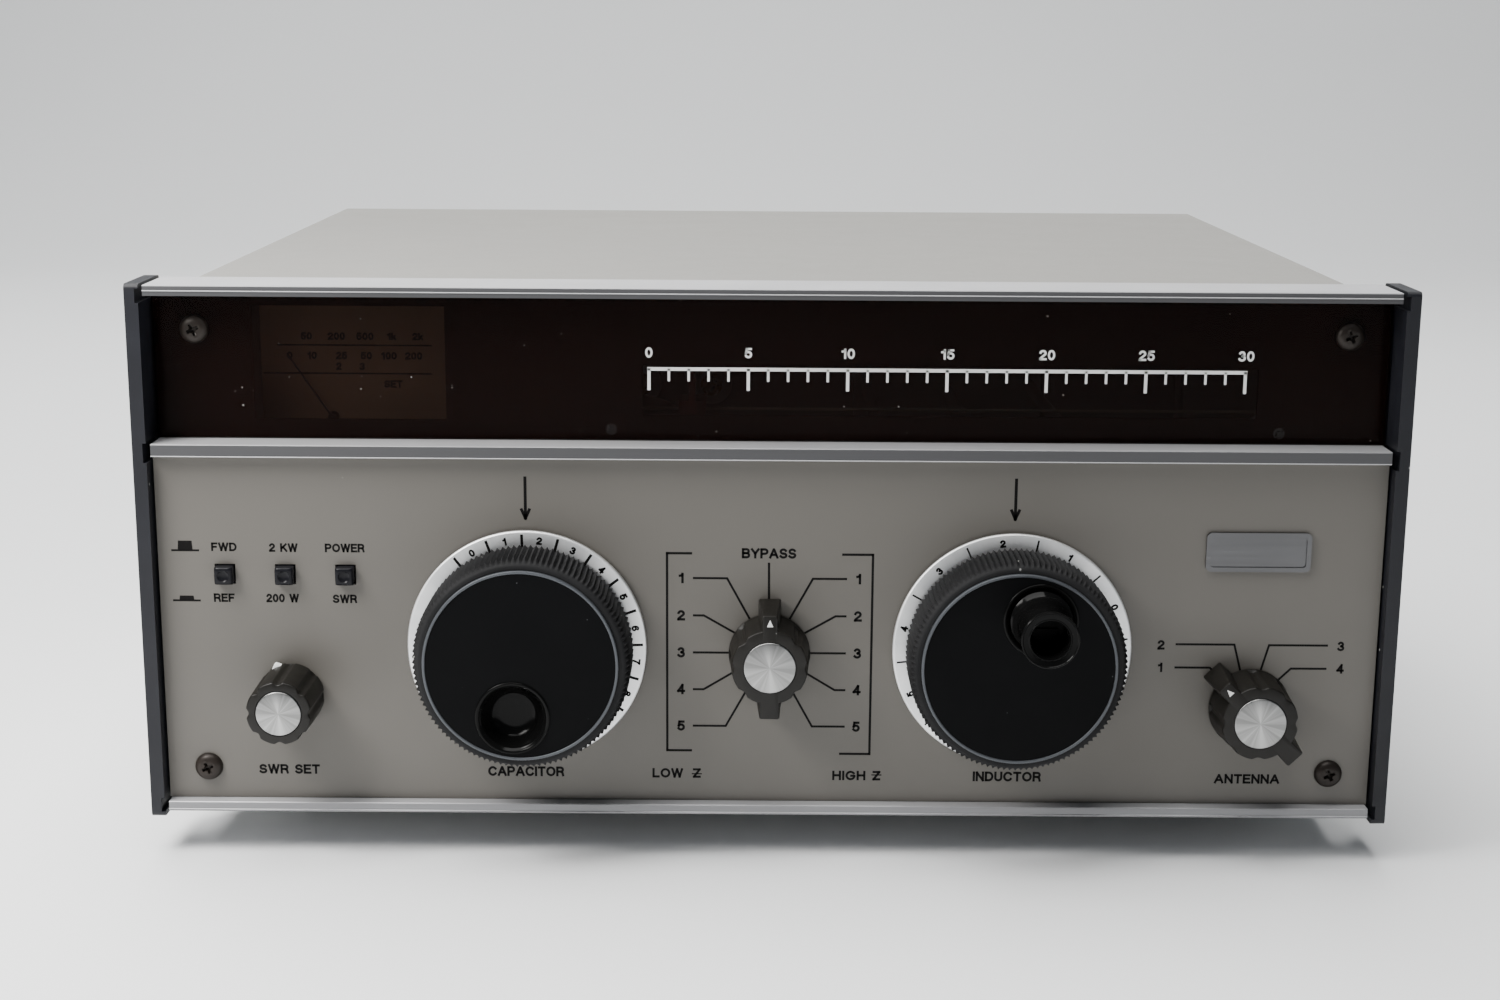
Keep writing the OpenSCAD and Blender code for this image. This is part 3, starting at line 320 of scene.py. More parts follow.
# Painted shade on the trims' front faces, lighter on the bottom trim as a painted reflection of the floor.
trim_metal.facing((0.07, 0.07, 0.074), low_share=0.6)
bronze = moulded("bronze", (0.024, 0.019, 0.016), 0.38, scale=900, vary=0.4)
bronze.set(Metallic=0.3, Specular_IOR_Level=0.25)
black_steel = moulded("black_steel", (0.02, 0.02, 0.02), 0.4)
pin_black = moulded("pin_black", (0.004, 0.004, 0.004), 0.5)
pin_black.set(Specular_IOR_Level=0.1)
rubber = moulded("rubber", (0.015, 0.015, 0.015), 0.75)
badge_metal = brushed("badge_metal", (0.12, 0.12, 0.124), 0.34, ALONG_X)
knob_black = moulded("knob_black", (0.02, 0.02, 0.0208), 0.6, grain=0.015, scale=2500, vary=0.2, dust=0.02)
knob_black.set(Specular_IOR_Level=0.05)
face_black = Surface("face_black", (0.0022, 0.0023, 0.0027), 0.5)
face_black.mottle(0.15, 25).gloss(0.05, 80).bump(3000, 0.006)
face_black.specks((0.1, 0.105, 0.11), scale=900, radius=0.16, share=0.02)
face_black.set(Specular_IOR_Level=0.06)
ring_metal = brushed("ring_metal", (0.065, 0.071, 0.08), 0.45, EVENLY, depth=0.002, metal=0.4)
gloss_black = moulded("gloss_black", (0.0035, 0.0035, 0.0035), 0.13, grain=0.002, scale=300)
gloss_black.specks((0.25, 0.25, 0.25), scale=700, radius=0.14, share=0.02)
gloss_black.set(Specular_IOR_Level=0.08)
small_knob = moulded(
    "small_knob", (0.009, 0.0081, 0.0068), 0.42, grain=0.014, scale=1400, vary=0.3, dust=0.01
)
small_knob.worn((0.12, 0.112, 0.1), low=0.62, high=0.72).set(Specular_IOR_Level=0.24)
button_black = moulded("button_black", (0.008, 0.008, 0.010), 0.22, grain=0.004, scale=900)
button_black.set(Specular_IOR_Level=0.12)
ink = moulded("ink", (0.004, 0.0035, 0.0035), 0.6, grain=0.004)
ink.set(Specular_IOR_Level=0.12)
white_ink = moulded("white_ink", (0.82, 0.82, 0.81), 0.5, grain=0.004)
nickel = brushed("nickel", (0.55, 0.54, 0.5), 0.24, EVENLY, depth=0.002)
steel = brushed("steel", (0.5, 0.5, 0.5), 0.3, ALONG_Y)
brass = brushed("brass", (0.55, 0.39, 0.16), 0.3, EVENLY)
aluminium = brushed("aluminium", (0.6, 0.6, 0.59), 0.35, ALONG_Y)
wire = brushed("wire", (0.6, 0.57, 0.5), 0.28, EVENLY)
white_plastic = moulded("white_plastic", (0.7, 0.7, 0.66), 0.4)
ceramic = moulded("ceramic", (0.7, 0.66, 0.56), 0.45)
glazed = moulded("glazed", (0.72, 0.7, 0.63), 0.12, grain=0.004, scale=200)
steatite = moulded("steatite", (0.55, 0.47, 0.34), 0.6)
dark_plastic = moulded("dark_plastic", (0.02, 0.018, 0.017), 0.5)
board_green = moulded("board_green", (0.05, 0.14, 0.06), 0.35)
ferrite = moulded("ferrite", (0.05, 0.045, 0.045), 0.6)
nylon = moulded("nylon", (0.62, 0.58, 0.47), 0.45)
cord_yarn = moulded("cord_yarn", (0.5, 0.46, 0.36), 0.8, grain=0.05, scale=4000)
lamp_glass = moulded("lamp_glass", (0.8, 0.76, 0.62), 0.2)
red_plastic = moulded("red_plastic", (0.12, 0.008, 0.006), 0.4)
red_plastic.set(Specular_IOR_Level=0.2)
dial_card = moulded("dial_card", (0.62, 0.36, 0.22), 0.7, grain=0.01, scale=1200, vary=0.06)
needle_paint = moulded("needle_paint", (0.008, 0.006, 0.006), 0.5)
smoked = Surface("smoked", (0.005, 0.0019, 0.0014), 0.08)
smoked.mottle(0.2, 12)
smoked.specks((0.35, 0.33, 0.31), scale=420, radius=0.13, share=0.05)
smoked.specks((0.5, 0.48, 0.46), scale=150, radius=0.05, share=0.12, offset=0.4)
smoked.set(Alpha=0.6, Specular_IOR_Level=0.07)


def turned_metal(name, color, rough, axis, pitch, depth, sheen_gain, aniso):
    """Metal faced on a lathe, with highlights that fan out from the axis: anisotropic reflection, and
    sectors of painted highlight in its colour.
    """
    s = Surface(name, color, rough, 1.0)
    s.mottle(0.03, 60).turned(axis, pitch, depth, sheen_gain)
    s.set(Anisotropic=aniso)
    tangent = s.add("ShaderNodeTangent", direction_type="RADIAL", axis="Y")
    s.link(tangent.outputs[0], s.bsdf.inputs["Tangent"])
    return s


# ---------- mesh helpers ----------

def add_piece(name, bm, body, surface):
    mesh = bpy.data.meshes.new(name)
    bm.to_mesh(mesh)
    bm.free()
    obj = bpy.data.objects.new(name, mesh)
    bpy.context.scene.collection.objects.link(obj)
    mesh.materials.append(surface.mat)
    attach(obj, body)
    return obj


def finish_mesh(name, bm, body, surface, sharp=32.0):
    """Adds the mesh as a piece, smooth except at edges of more than sharp degrees."""
    bmesh.ops.remove_doubles(bm, verts=bm.verts, dist=2e-6)
    bmesh.ops.recalc_face_normals(bm, faces=bm.faces)
    limit = math.radians(sharp)
    for edge in bm.edges:
        edge.smooth = len(edge.link_faces) == 2 and edge.calc_face_angle(0) < limit
    for face in bm.faces:
        face.smooth = True
    return add_piece(name, bm, body, surface)


def band(bm, a, b):
    """Joins two closed loops of the same length with four-sided faces."""
    n = len(a)
    for i in range(n):
        bm.faces.new([a[i], a[(i + 1) % n], b[(i + 1) % n], b[i]])


def revolve(bm, axis, rows, steps, shape=None):
    """Rings about a front axis. Each row is (radius, distance forwards, weight of the shape)."""
    rings = []
    for row in rows:
        radius, forward = row[0], row[1]
        weight = row[2] if len(row) > 2 else 0.0
        if radius == 0:
            rings.append([bm.verts.new(at(axis[0], -forward, axis[1]))])
            continue
        ring = []
        for i in range(steps):
            a = 2 * math.pi * i / steps
            r = radius + (shape(a) * weight if shape and weight else 0.0)
            ring.append(bm.verts.new(at(axis[0] + r * math.sin(a), -forward, axis[1] + r * math.cos(a))))
        rings.append(ring)
    for a, b in zip(rings, rings[1:]):
        for i in range(max(len(a), len(b))):
            quad = [a[i % len(a)], a[(i + 1) % len(a)], b[(i + 1) % len(b)], b[i % len(b)]]
            corners = list(dict.fromkeys(quad))
            if len(corners) > 2:
                bm.faces.new(corners)
    return rings


def lathe(name, axis, rows, body, surface, steps=96, closed=False, shape=None, sharp=32.0):
    bm = bmesh.new()
    rings = revolve(bm, axis, rows, steps, shape)
    if closed:
        band(bm, rings[-1], rings[0])
    return finish_mesh(name, bm, body, surface, sharp)


def prism(bm, outline, y0, y1, bevel=0.0):
    """A solid between two depths over an outline of (x, z) points; its front edge is bevelled."""
    levels = [(y1, 0.0), (y0 + bevel, 0.0)]
    if bevel:
        levels += [(y0 + bevel * 0.3, bevel * 0.3), (y0, bevel)]
    rings = [[bm.verts.new(at(x, y, z)) for x, z in inset(outline, d)] for y, d in levels]
    for a, b in zip(rings, rings[1:]):
        band(bm, a, b)
    bm.faces.new(rings[0])
    bm.faces.new(rings[-1])


def inset(outline, distance):
    """The outline moved inwards. It has to be given counter-clockwise."""
    if not distance:
        return list(outline)
    result = []
    n = len(outline)
    for i in range(n):
        p, q, r = (Vector(outline[(i + k) % n]) for k in (-1, 0, 1))
        a, b = (q - p).normalized(), (r - q).normalized()
        na, nb = Vector((-a.y, a.x)), Vector((-b.y, b.x))
        mid = na + nb
        scale = distance / max(0.25, mid.length_squared / 2)
        result.append(tuple(q + mid * scale))
    return result


# ---------- printing ----------

def bow(cx, cy, rx, ry, start, end, steps=9):
    """Points on an ellipse from one angle to another, in degrees counter-clockwise from the right."""
    angles = [math.radians(start + (end - start) * i / steps) for i in range(steps + 1)]
    return [(cx + rx * math.cos(a), cy + ry * math.sin(a)) for a in angles]


def oval(cx, cy, rx, ry):
    """A whole ellipse. The word at its end marks it as closed."""
    steps = 20
    return bow(cx, cy, rx, ry, 0, 360 - 360 / steps, steps - 1) + ["closed"]


# Plain sans-serif letters as centre lines in a box one unit high: width, then the strokes.
# The gap after a letter and the width of a space are in the same unit.
LETTER_GAP = 0.33
WORD_GAP = 0.6
LETTERS = {
    "A": (0.78, [(0, 0), (0.37, 1), (0.41, 1), (0.78, 0)], [(0.15, 0.32), (0.63, 0.32)]),
    "B": (0.66, [(0, 0.52), (0, 1), (0.4, 1)] + bow(0.4, 0.76, 0.22, 0.24, 75, -90) + [(0, 0.52)],
          [(0, 0.52), (0, 0), (0.4, 0)] + bow(0.4, 0.26, 0.26, 0.26, -75, 90) + [(0, 0.52)]),
    "C": (0.76, bow(0.4, 0.5, 0.4, 0.5, 38, 322, 16)),
    "D": (0.7, [(0, 0.5), (0, 1), (0.3, 1)] + bow(0.3, 0.5, 0.4, 0.5, 80, -80)
          + [(0.3, 0), (0, 0), (0, 0.5)]),
    "E": (0.58, [(0.58, 1), (0, 1), (0, 0), (0.6, 0)], [(0.1, 0.52), (0.52, 0.52)]),
    "F": (0.56, [(0.56, 1), (0, 1), (0, 0)], [(0.1, 0.5), (0.46, 0.5)]),
    "G": (0.78, bow(0.4, 0.5, 0.4, 0.5, 38, 350, 16) + [(0.78, 0.46), (0.48, 0.46)]),
    "H": (0.66, [(0, 0), (0, 1)], [(0.66, 0), (0.66, 1)], [(0.1, 0.52), (0.56, 0.52)]),
    "I": (0.0, [(0, 0), (0, 1)]),
    "K": (0.68, [(0, 0), (0, 1)], [(0.62, 1), (0.06, 0.38)], [(0.26, 0.58), (0.68, 0)]),
    "L": (0.54, [(0, 1), (0, 0), (0.54, 0)]),
    "N": (0.66, [(0, 0), (0, 1), (0.66, 0), (0.66, 1)]),
    "O": (0.82, oval(0.41, 0.5, 0.41, 0.5)),
    "P": (0.64, [(0, 0), (0, 1), (0.38, 1)] + bow(0.38, 0.725, 0.26, 0.275, 80, -80)
          + [(0.38, 0.45), (0.08, 0.45)]),
    "R": (0.66, [(0, 0), (0, 1), (0.4, 1)] + bow(0.4, 0.74, 0.24, 0.26, 80, -80)
          + [(0.4, 0.48), (0.08, 0.48)],
          [(0.42, 0.44), (0.58, 0.36), (0.62, 0.18), (0.66, 0.0)]),
    "S": (0.64, bow(0.32, 0.74, 0.29, 0.26, 22, 262, 9) + bow(0.32, 0.25, 0.32, 0.25, 80, -158, 9)),
    "T": (0.64, [(0, 1), (0.64, 1)], [(0.32, 0.9), (0.32, 0)]),
    "U": (0.64, [(0, 1), (0, 0.34)] + bow(0.32, 0.32, 0.32, 0.32, 190, 350) + [(0.64, 0.34), (0.64, 1)]),
    "W": (1.04, [(0, 1), (0.25, 0), (0.52, 1), (0.79, 0), (1.04, 1)]),
    "Y": (0.7, [(0, 1), (0.35, 0.46), (0.7, 1)], [(0.35, 0.4), (0.35, 0)]),
    "Z": (0.6, [(0, 1), (0.6, 1), (0, 0), (0.6, 0)]),
    "k": (0.46, [(0, 0), (0, 1)], [(0.42, 0.62), (0.06, 0.24)], [(0.18, 0.36), (0.46, 0)]),
    "0": (0.54, oval(0.27, 0.5, 0.27, 0.5)),
    "1": (0.32, [(0.3, 0), (0.3, 1)], [(0.26, 0.9), (0.2, 0.8), (0.04, 0.77)]),
    "2": (0.54, bow(0.27, 0.72, 0.26, 0.28, 165, -28) + [(0.03, 0.12), (0.0, 0), (0.55, 0)]),
    "3": (0.54, bow(0.26, 0.75, 0.23, 0.25, 155, -75) + bow(0.26, 0.265, 0.28, 0.265, 80, -155)),
    "4": (0.58, [(0.42, 0), (0.42, 1), (0.0, 0.27), (0.58, 0.27)]),
    "5": (0.54, [(0.5, 1), (0.1, 1), (0.03, 0.5)] + bow(0.26, 0.32, 0.28, 0.32, 128, -152)),
    "6": (0.54, oval(0.27, 0.3, 0.27, 0.3), bow(0.3, 0.5, 0.3, 0.5, 185, 48)),
    "7": (0.54, [(0, 1), (0.54, 1), (0.34, 0.6), (0.2, 0)]),
    "8": (0.54, oval(0.27, 0.755, 0.23, 0.245), oval(0.27, 0.265, 0.27, 0.265)),
    "9": (0.54, oval(0.27, 0.7, 0.27, 0.3), bow(0.24, 0.5, 0.3, 0.5, 5, -132)),
}


class Print:
    """Thin printing just in front of a face, gathered into one piece."""

    def __init__(self, y):
        self.bm = bmesh.new()
        self.front = y - 0.03
        self.back = y - 0.004

    def face(self, points):
        """A flat shape with straight sides, given clockwise or counter-clockwise."""
        front, back = ([self.bm.verts.new(at(x, y, z)) for x, z in points] for y in (self.front, self.back))
        band(self.bm, front, back)
        self.bm.faces.new(front)
        self.bm.faces.new(back)

    def line(self, points, width, closed=False):
        """A line of even width through (x, z) points, with square ends. Sharp corners split it."""
        pts = [Vector(p) for p in points]
        n = len(pts)
        if not closed:
            for i in range(1, n - 1):
                if (pts[i] - pts[i - 1]).angle(pts[i + 1] - pts[i]) > math.radians(75):
                    self.line(points[:i + 1], width)
                    self.line(points[i:], width)
                    return
            pts[0] += (pts[0] - pts[1]).normalized() * width * 0.5
            pts[-1] += (pts[-1] - pts[-2]).normalized() * width * 0.5
        rails = []
        for i, p in enumerate(pts):
            into = p - pts[i - 1] if closed or i else pts[1] - p
            out = pts[(i + 1) % n] - p if closed or i + 1 < n else into
            into, out = into.normalized(), out.normalized()
            normal = (Vector((-into.y, into.x)) + Vector((-out.y, out.x))) / 2
            offset = normal * (width / 2) / max(0.4, normal.length_squared)
            rails.append((p + offset, p - offset))
        loops = [
            [self.bm.verts.new(at(q.x, y, q.y)) for q, y in
             ((a, self.front), (b, self.front), (b, self.back), (a, self.back))]
            for a, b in rails
        ]
        for i in range(n if closed else n - 1):
            band(self.bm, loops[i], loops[(i + 1) % n])
        if not closed:
            self.bm.faces.new(loops[0])
            self.bm.faces.new(loops[-1])

    def text(self, text, x, z, height, width=None, turn=0.0, weight=0.22):
        """Text centred on (x, z). Height is a capital's, width is the whole text's, turn is clockwise."""
        stroke = height * weight
        tall = height - stroke
        run = 0.0
        placed = []
        for letter in text:
            if letter == " ":
                run += WORD_GAP
                continue
            wide, *strokes = LETTERS[letter]
            placed.append((run, strokes))
            run += wide + LETTER_GAP
        run -= LETTER_GAP
        across = (width - stroke) / run if width else tall * 1.18
        c, s = math.cos(math.radians(turn)), math.sin(math.radians(turn))
        for start, strokes in placed:
            for points in strokes:
                closed = points[-1] == "closed"
                path = []
                for px, py in points[:-1] if closed else points:
                    u = (start + px - run / 2) * across
                    v = (py - 0.5) * tall
                    path.append((x + u * c + v * s, z - u * s + v * c))
                self.line(path, stroke, closed)

    def done(self, name, body, surface):
        bmesh.ops.recalc_face_normals(self.bm, faces=self.bm.faces)
        add_piece(name, self.bm, body, surface)


def polar(axis, radius, clockwise):
    """The (x, z) point at that radius and angle from the top."""
    a = math.radians(clockwise)
    return (axis[0] + radius * math.sin(a), axis[1] + radius * math.cos(a))


# ---------- camera, light and floor ----------

def camera():
    """The photograph's viewpoint: in front of the panel, a little above it and looking down."""
    place = at(-4.91, -554.34, 209.24)
    pitch, yaw, roll = 0.215507, -0.000876, -0.006474
    forward = Vector((math.sin(yaw) * math.cos(pitch), math.cos(yaw) * math.cos(pitch), -math.sin(pitch)))
    right = Vector((math.cos(yaw), -math.sin(yaw), 0.0))
    down = forward.cross(right)
    x_axis = math.cos(roll) * right + math.sin(roll) * down
    y_axis = math.sin(roll) * right - math.cos(roll) * down
    data = bpy.data.cameras.new("camera")
    data.sensor_width = 36.0
    data.lens = 52.542
    data.clip_start = 0.01
    data.clip_end = 20.0
    obj = bpy.data.objects.new("camera", data)
    turn = Matrix((x_axis, y_axis, -forward)).transposed().to_4x4()
    obj.matrix_world = Matrix.Translation(place) @ turn
    bpy.context.scene.collection.objects.link(obj)
    bpy.context.scene.camera = obj


def soft_light(name, place, target, size, power, color):
    data = bpy.data.lights.new(name, "AREA")
    data.shape = "RECTANGLE"
    data.size, data.size_y = size
    data.energy = power
    data.color = color
    obj = bpy.data.objects.new(name, data)
    obj.location = place
    aim = Vector(target) - Vector(place)
    obj.rotation_euler = aim.to_track_quat("-Z", "Y").to_euler()
    bpy.context.scene.collection.objects.link(obj)


def studio():
    world = bpy.data.worlds.new("world")
    world.use_nodes = True
    background = world.node_tree.nodes["Background"]
    background.inputs["Color"].default_value = (0.80, 0.86, 0.92, 1)
    background.inputs["Strength"].default_value = 0.16
    bpy.context.scene.world = world
    soft_light(
        "top_light", place=(-0.3, 0.14, 1.6), target=(0, 0.1, 0.1), size=(1.9, 1.5), power=70,
        color=(1.0, 0.995, 0.98)
    )
    soft_light(
        "left_light", place=(-0.3, -0.27, 0.33), target=(-0.1, -0.12, 0.09), size=(0.16, 0.16), power=2.0,
        color=(1.0, 0.985, 0.96)
    )
    # A sheet of paper, in metres, that lies flat and then curves up behind the object.
    bm = bmesh.new()
    front, flat_end, curve, half_width, top = -2.2, 1.3, 1.0, 3.5, 3.2
    steps = 12
    profile = [(front, 0.0), (flat_end, 0.0)]
    for i in range(1, steps + 1):
        a = math.radians(90 * i / steps)
        profile.append((flat_end + curve * math.sin(a), curve - curve * math.cos(a)))
    profile.append((flat_end + curve, top))
    rows = [[bm.verts.new((x, y, z)) for x in (-half_width, half_width)] for y, z in profile]
    for a, b in zip(rows, rows[1:]):
        bm.faces.new([a[0], a[1], b[1], b[0]]).smooth = True
    mesh = bpy.data.meshes.new("floor")
    bm.to_mesh(mesh)
    bm.free()
    floor = bpy.data.objects.new("floor", mesh)
    bpy.context.scene.collection.objects.link(floor)
    paper = Surface("paper", (0.88, 0.89, 0.90), 0.75)
    paper.mottle(0.015, 1.5)
    mesh.materials.append(paper.mat)


camera()
studio()

# ---------- materials of the CAD nodes ----------

MATERIALS = {
    "bottom_chassis": zinc, "top_cover": cover_paint, "rear_panel": cover_paint,
    "sub_panel": dark_paint, "front_panel": panel_paint, "window": smoked, "side_rails": rail_plastic,
    "trim_strips": trim_metal, "front_screws": bronze, "case_screws": black_steel, "feet": rubber,
    "badge": badge_metal, "meter_case": dark_plastic, "meter_dial": dial_card,
    "meter_needle": needle_paint, "scale_lamps": lamp_glass, "pointer_rail": steel,
    "turns_pointer": red_plastic, "pointer_gear": nylon, "dial_cord": cord_yarn,
    "inductor_frame": aluminium, "coil_form": ceramic, "coil_winding": wire, "inductor_shaft": steel,
    "contact_roller": brass, "crank_pin": pin_black, "capacitor_frame": aluminium,
    "stator_plates": aluminium, "capacitor_rotor": aluminium, "mode_switch": steatite,
    "mode_shaft": steel, "antenna_switch": steatite, "antenna_shaft": steel, "swr_pot": dark_plastic,
    "swr_shaft": steel, "button_switches": dark_plastic, "left_button": button_black,
    "middle_button": button_black, "right_button": button_black, "rear_sockets": nickel,
    "socket_inserts": white_plastic, "terminal_insulators": glazed, "terminal_studs": brass,
    "swr_board": board_green, "balun": ferrite, "inductor_skirt": aluminium, "inductor_knob": knob_black,
    "inductor_face": face_black, "inductor_cup": gloss_black, "crank_handle": gloss_black,
    "capacitor_skirt": aluminium, "capacitor_knob": knob_black, "capacitor_face": face_black,
    "capacitor_cup": gloss_black, "mode_knob": small_knob, "mode_cap": aluminium,
    "antenna_knob": small_knob, "antenna_cap": aluminium, "swr_knob": small_knob, "swr_cap": aluminium,
}
for name, surface in MATERIALS.items():
    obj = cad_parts[name]
    obj.data.materials.clear()
    obj.data.materials.append(surface.mat)


# ---------- big knobs ----------

def knurl(teeth, depth):
    """Rounded ridges around a grip, as a radius to add at an angle."""
    def shape(a):
        phase = (a * teeth / (2 * math.pi)) % 1.0
        return -depth * (1 - abs(2 * phase - 1)) ** 0.8
    return shape


def skirt(name, axis, body, cad):
    """The flat dial disc behind a grip."""
    # The disc's colour carries painted highlight sectors, 1.25 times as bright, for its spun sheen.
    metal = turned_metal(
        name + "_metal", (0.82, 0.83, 0.84), 0.5, axis, pitch=0.5, depth=0.004, sheen_gain=1.25, aniso=0.4
    )
    rows = [
        (3.05, -2.8), (31.3, -2.8), (31.6, -2.6), (31.6, -1.95), (31.45, -1.7), (31.15, -1.52),
        (30.9, -1.5), (3.05, -1.5)
    ]
    piece = lathe(name + "_dial", axis, rows, body, metal, 160, closed=True, sharp=50)
    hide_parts(cad)


def knob(name, axis, body, cad):
    """The knurled grip with a rounded shoulder and a seat for the face disc."""
    rows = [
        (22.0, -1.4), (27.2, -1.4), (27.8, -1.0, 0.6), (28.2, -0.6, 1.0), (28.2, 12.8, 1.0),
        (28.0, 13.4, 0.9), (27.6, 14.05, 0.6), (27.15, 14.6, 0.25), (26.8, 14.95), (26.5, 15.18),
        (26.3, 15.27), (26.0, 15.3), (25.3, 15.3), (25.25, 14.6), (22.0, 14.6)
    ]
    piece = lathe(
        name + "_grip", axis, rows, body, knob_black, 960, closed=True,
        shape=knurl(teeth=120, depth=0.85), sharp=40
    )
    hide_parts(cad)


def face_disc(name, axis, cup, body, cad):
    """The face disc with a hole for the cup, and the bright ring around it."""
    bm = bmesh.new()
    front, back = -16.0, -14.9
    outer = [polar(axis, 24.43, 3 * i) for i in range(120)]
    hole = [polar(cup, 9.38, -6 * i) for i in range(60)]
    edges = []
    for y in (front, back):
        for loop in (outer, hole):
            verts = [bm.verts.new(at(x, y, z)) for x, z in loop]
            edges.append([bm.edges.new(pair) for pair in zip(verts, verts[1:] + verts[:1])])
    for pair in (edges[0] + edges[1], edges[2] + edges[3]):
        bmesh.ops.triangle_fill(bm, use_beauty=True, use_dissolve=False, edges=pair)
    for a, b in ((edges[0], edges[2]), (edges[1], edges[3])):
        bmesh.ops.bridge_loops(bm, edges=a + b)
    disc = finish_mesh(name + "_disc", bm, body, face_black, 30)
    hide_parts(cad)
    rows = [
        (24.45, 15.0), (24.45, 16.1), (24.52, 16.24), (24.65, 16.3), (25.0, 16.3), (25.13, 16.24),
        (25.2, 16.1), (25.2, 15.0)
    ]
    lathe(name + "_ring", axis, rows, body, ring_metal, 160, closed=True, sharp=60)


def cup(name, centre, body, cad):
    """A bowl whose rounded rim stands on the face disc."""
    rows = [
        (0, 8.5), (9.3, 8.5), (9.3, 16.0), (9.66, 16.03), (9.7, 16.2), (9.62, 16.38), (9.42, 16.5),
        (9.15, 16.5), (8.9, 16.4), (8.7, 16.2), (8.55, 15.9), (8.35, 15.75), (8.15, 15.5), (7.95, 14.9),
        (7.65, 14.0), (7.1, 12.9), (6.4, 11.9), (5.7, 11.2), (5.1, 10.85), (4.4, 10.6), (3.7, 10.52),
        (0, 10.5)
    ]
    piece = lathe(name + "_cup_bowl", centre, rows, body, gloss_black, 96, sharp=38)
    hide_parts(cad)


def dial_print(name, axis, body, step, reading, figures, ticks, tick_width):
    """Figures from 0, step degrees apart, and ticks halfway between them. Reading is at the top."""
    page = Print(SKIRT_FACE)
    for figure in range(figures):
        turn = step * (figure - reading)
        x, z = polar(axis, 29.15, turn)
        page.text(str(figure), x, z, 2.05, turn=turn, weight=0.26)
    for i in range(ticks):
        turn = step * (i - 0.5 - reading)
        page.line([polar(axis, 27.5, turn), polar(axis, 30.3, turn)], tick_width)
    page.done(name, body, ink)


capacitor_cup = polar(CAPACITOR, CUP_RADIUS, CAPACITOR_CUP_ANGLE)
inductor_cup = polar(INDUCTOR, CUP_RADIUS, INDUCTOR_CUP_ANGLE)
for name, axis, cup_at, body in (
    ("capacitor", CAPACITOR, capacitor_cup, "capacitor_control"),
    ("inductor", INDUCTOR, inductor_cup, "inductor_control"),
):
    skirt(name, axis, body, name + "_skirt")
    knob(name, axis, body, name + "_knob")
    face_disc(name, axis, cup_at, body, name + "_face")
    cup(name, cup_at, body, name + "_cup")

dial_print(
    "capacitor_figures", CAPACITOR, "capacitor_control", step=18, reading=1.6, figures=11, ticks=12,
    tick_width=0.72
)
dial_print(
    "inductor_figures", INDUCTOR, "inductor_control", step=-36, reading=1.82, figures=10, ticks=10,
    tick_width=0.48
)

# The spinner handle: a collar in the cup, a waisted grip and a rolled front edge around a hole.
handle_rows = [
    (0, 10.85), (4.4, 10.85), (4.55, 11.0), (4.58, 14.2), (5.4, 14.6), (7.5, 16.15), (7.8, 16.35),
    (7.97, 16.65), (7.9, 17.0), (7.5, 17.4), (6.9, 18.2), (6.45, 19.3), (6.15, 21.0), (6.0, 23.0),
    (6.1, 26.0), (6.5, 29.5), (6.95, 32.0), (7.2, 33.0), (7.33, 33.7), (7.33, 34.0), (7.25, 34.3),
    (7.05, 34.47), (6.85, 34.45), (6.7, 34.3), (5.45, 34.1), (5.3, 34.22), (5.1, 34.2), (4.95, 34.0),
    (4.85, 33.5), (4.72, 32.5), (4.7, 20.0), (0, 20.0)
]
handle = lathe("crank_spinner", inductor_cup, handle_rows, "crank", gloss_black, 80, sharp=30)
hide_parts("crank_handle")


# ---------- small knobs ----------

def hollows(count, depth, half):
    """Hollows around a grip, half degrees to each side and the first at the top, as for knurl."""
    def shape(a):
        step = 360 / count
        off = (math.degrees(a) + step / 2) % step - step / 2
        t = min(1.0, abs(off) / half)
        return -depth * (1 - t * t) ** 1.5
    return shape


def grip(name, axis, body, cad, rows, shape):
    piece = lathe(
        name + "_grip", axis, rows, body, small_knob, 288, shape=shape, sharp=38
    )
    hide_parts(cad)


def wing(name, axis, turn, body):
    """The bar through a knob, flush with its front. It is narrower towards its pointing end."""
    bm = bmesh.new()
    front, corner = -10.6, 0.5
    c, s = math.cos(math.radians(turn)), math.sin(math.radians(turn))
    # Depth, half width at the head and at the tail, half length.
    levels = [
        (3.3, 3.0, 3.2, 14.85), (3.0, 2.98, 3.18, 14.83), (-9.9, 1.98, 2.62, 13.95),
        (-10.3, 1.92, 2.56, 13.88), (-10.52, 1.8, 2.44, 13.74), (front, 1.6, 2.24, 13.54)
    ]
    loops = []
    for y, head, tail, length in levels:
        loop = []
        for cx, cz, start in ((1, 1, 0), (-1, 1, 90), (-1, -1, 180), (1, -1, 270)):
            half = head if cz > 0 else tail
            for i in range(5):
                a = math.radians(start + 22.5 * i)
                x = cx * (half - corner) + corner * math.cos(a)
                z = cz * (length - corner) + corner * math.sin(a)
                loop.append(bm.verts.new(at(axis[0] + x * c + z * s, y, axis[1] - x * s + z * c)))
        loops.append(loop)
    for a, b in zip(loops, loops[1:]):
        band(bm, a, b)
    bm.faces.new(loops[0])
    bm.faces.new(loops[-1])
    finish_mesh(name + "_wing", bm, body, small_knob, 24)
    page = Print(front)
    page.face([polar(axis, 12.9, turn), polar(axis, 11.05, turn - 4.2), polar(axis, 11.05, turn + 4.2)])
    page.done(name + "_mark", body, white_ink)


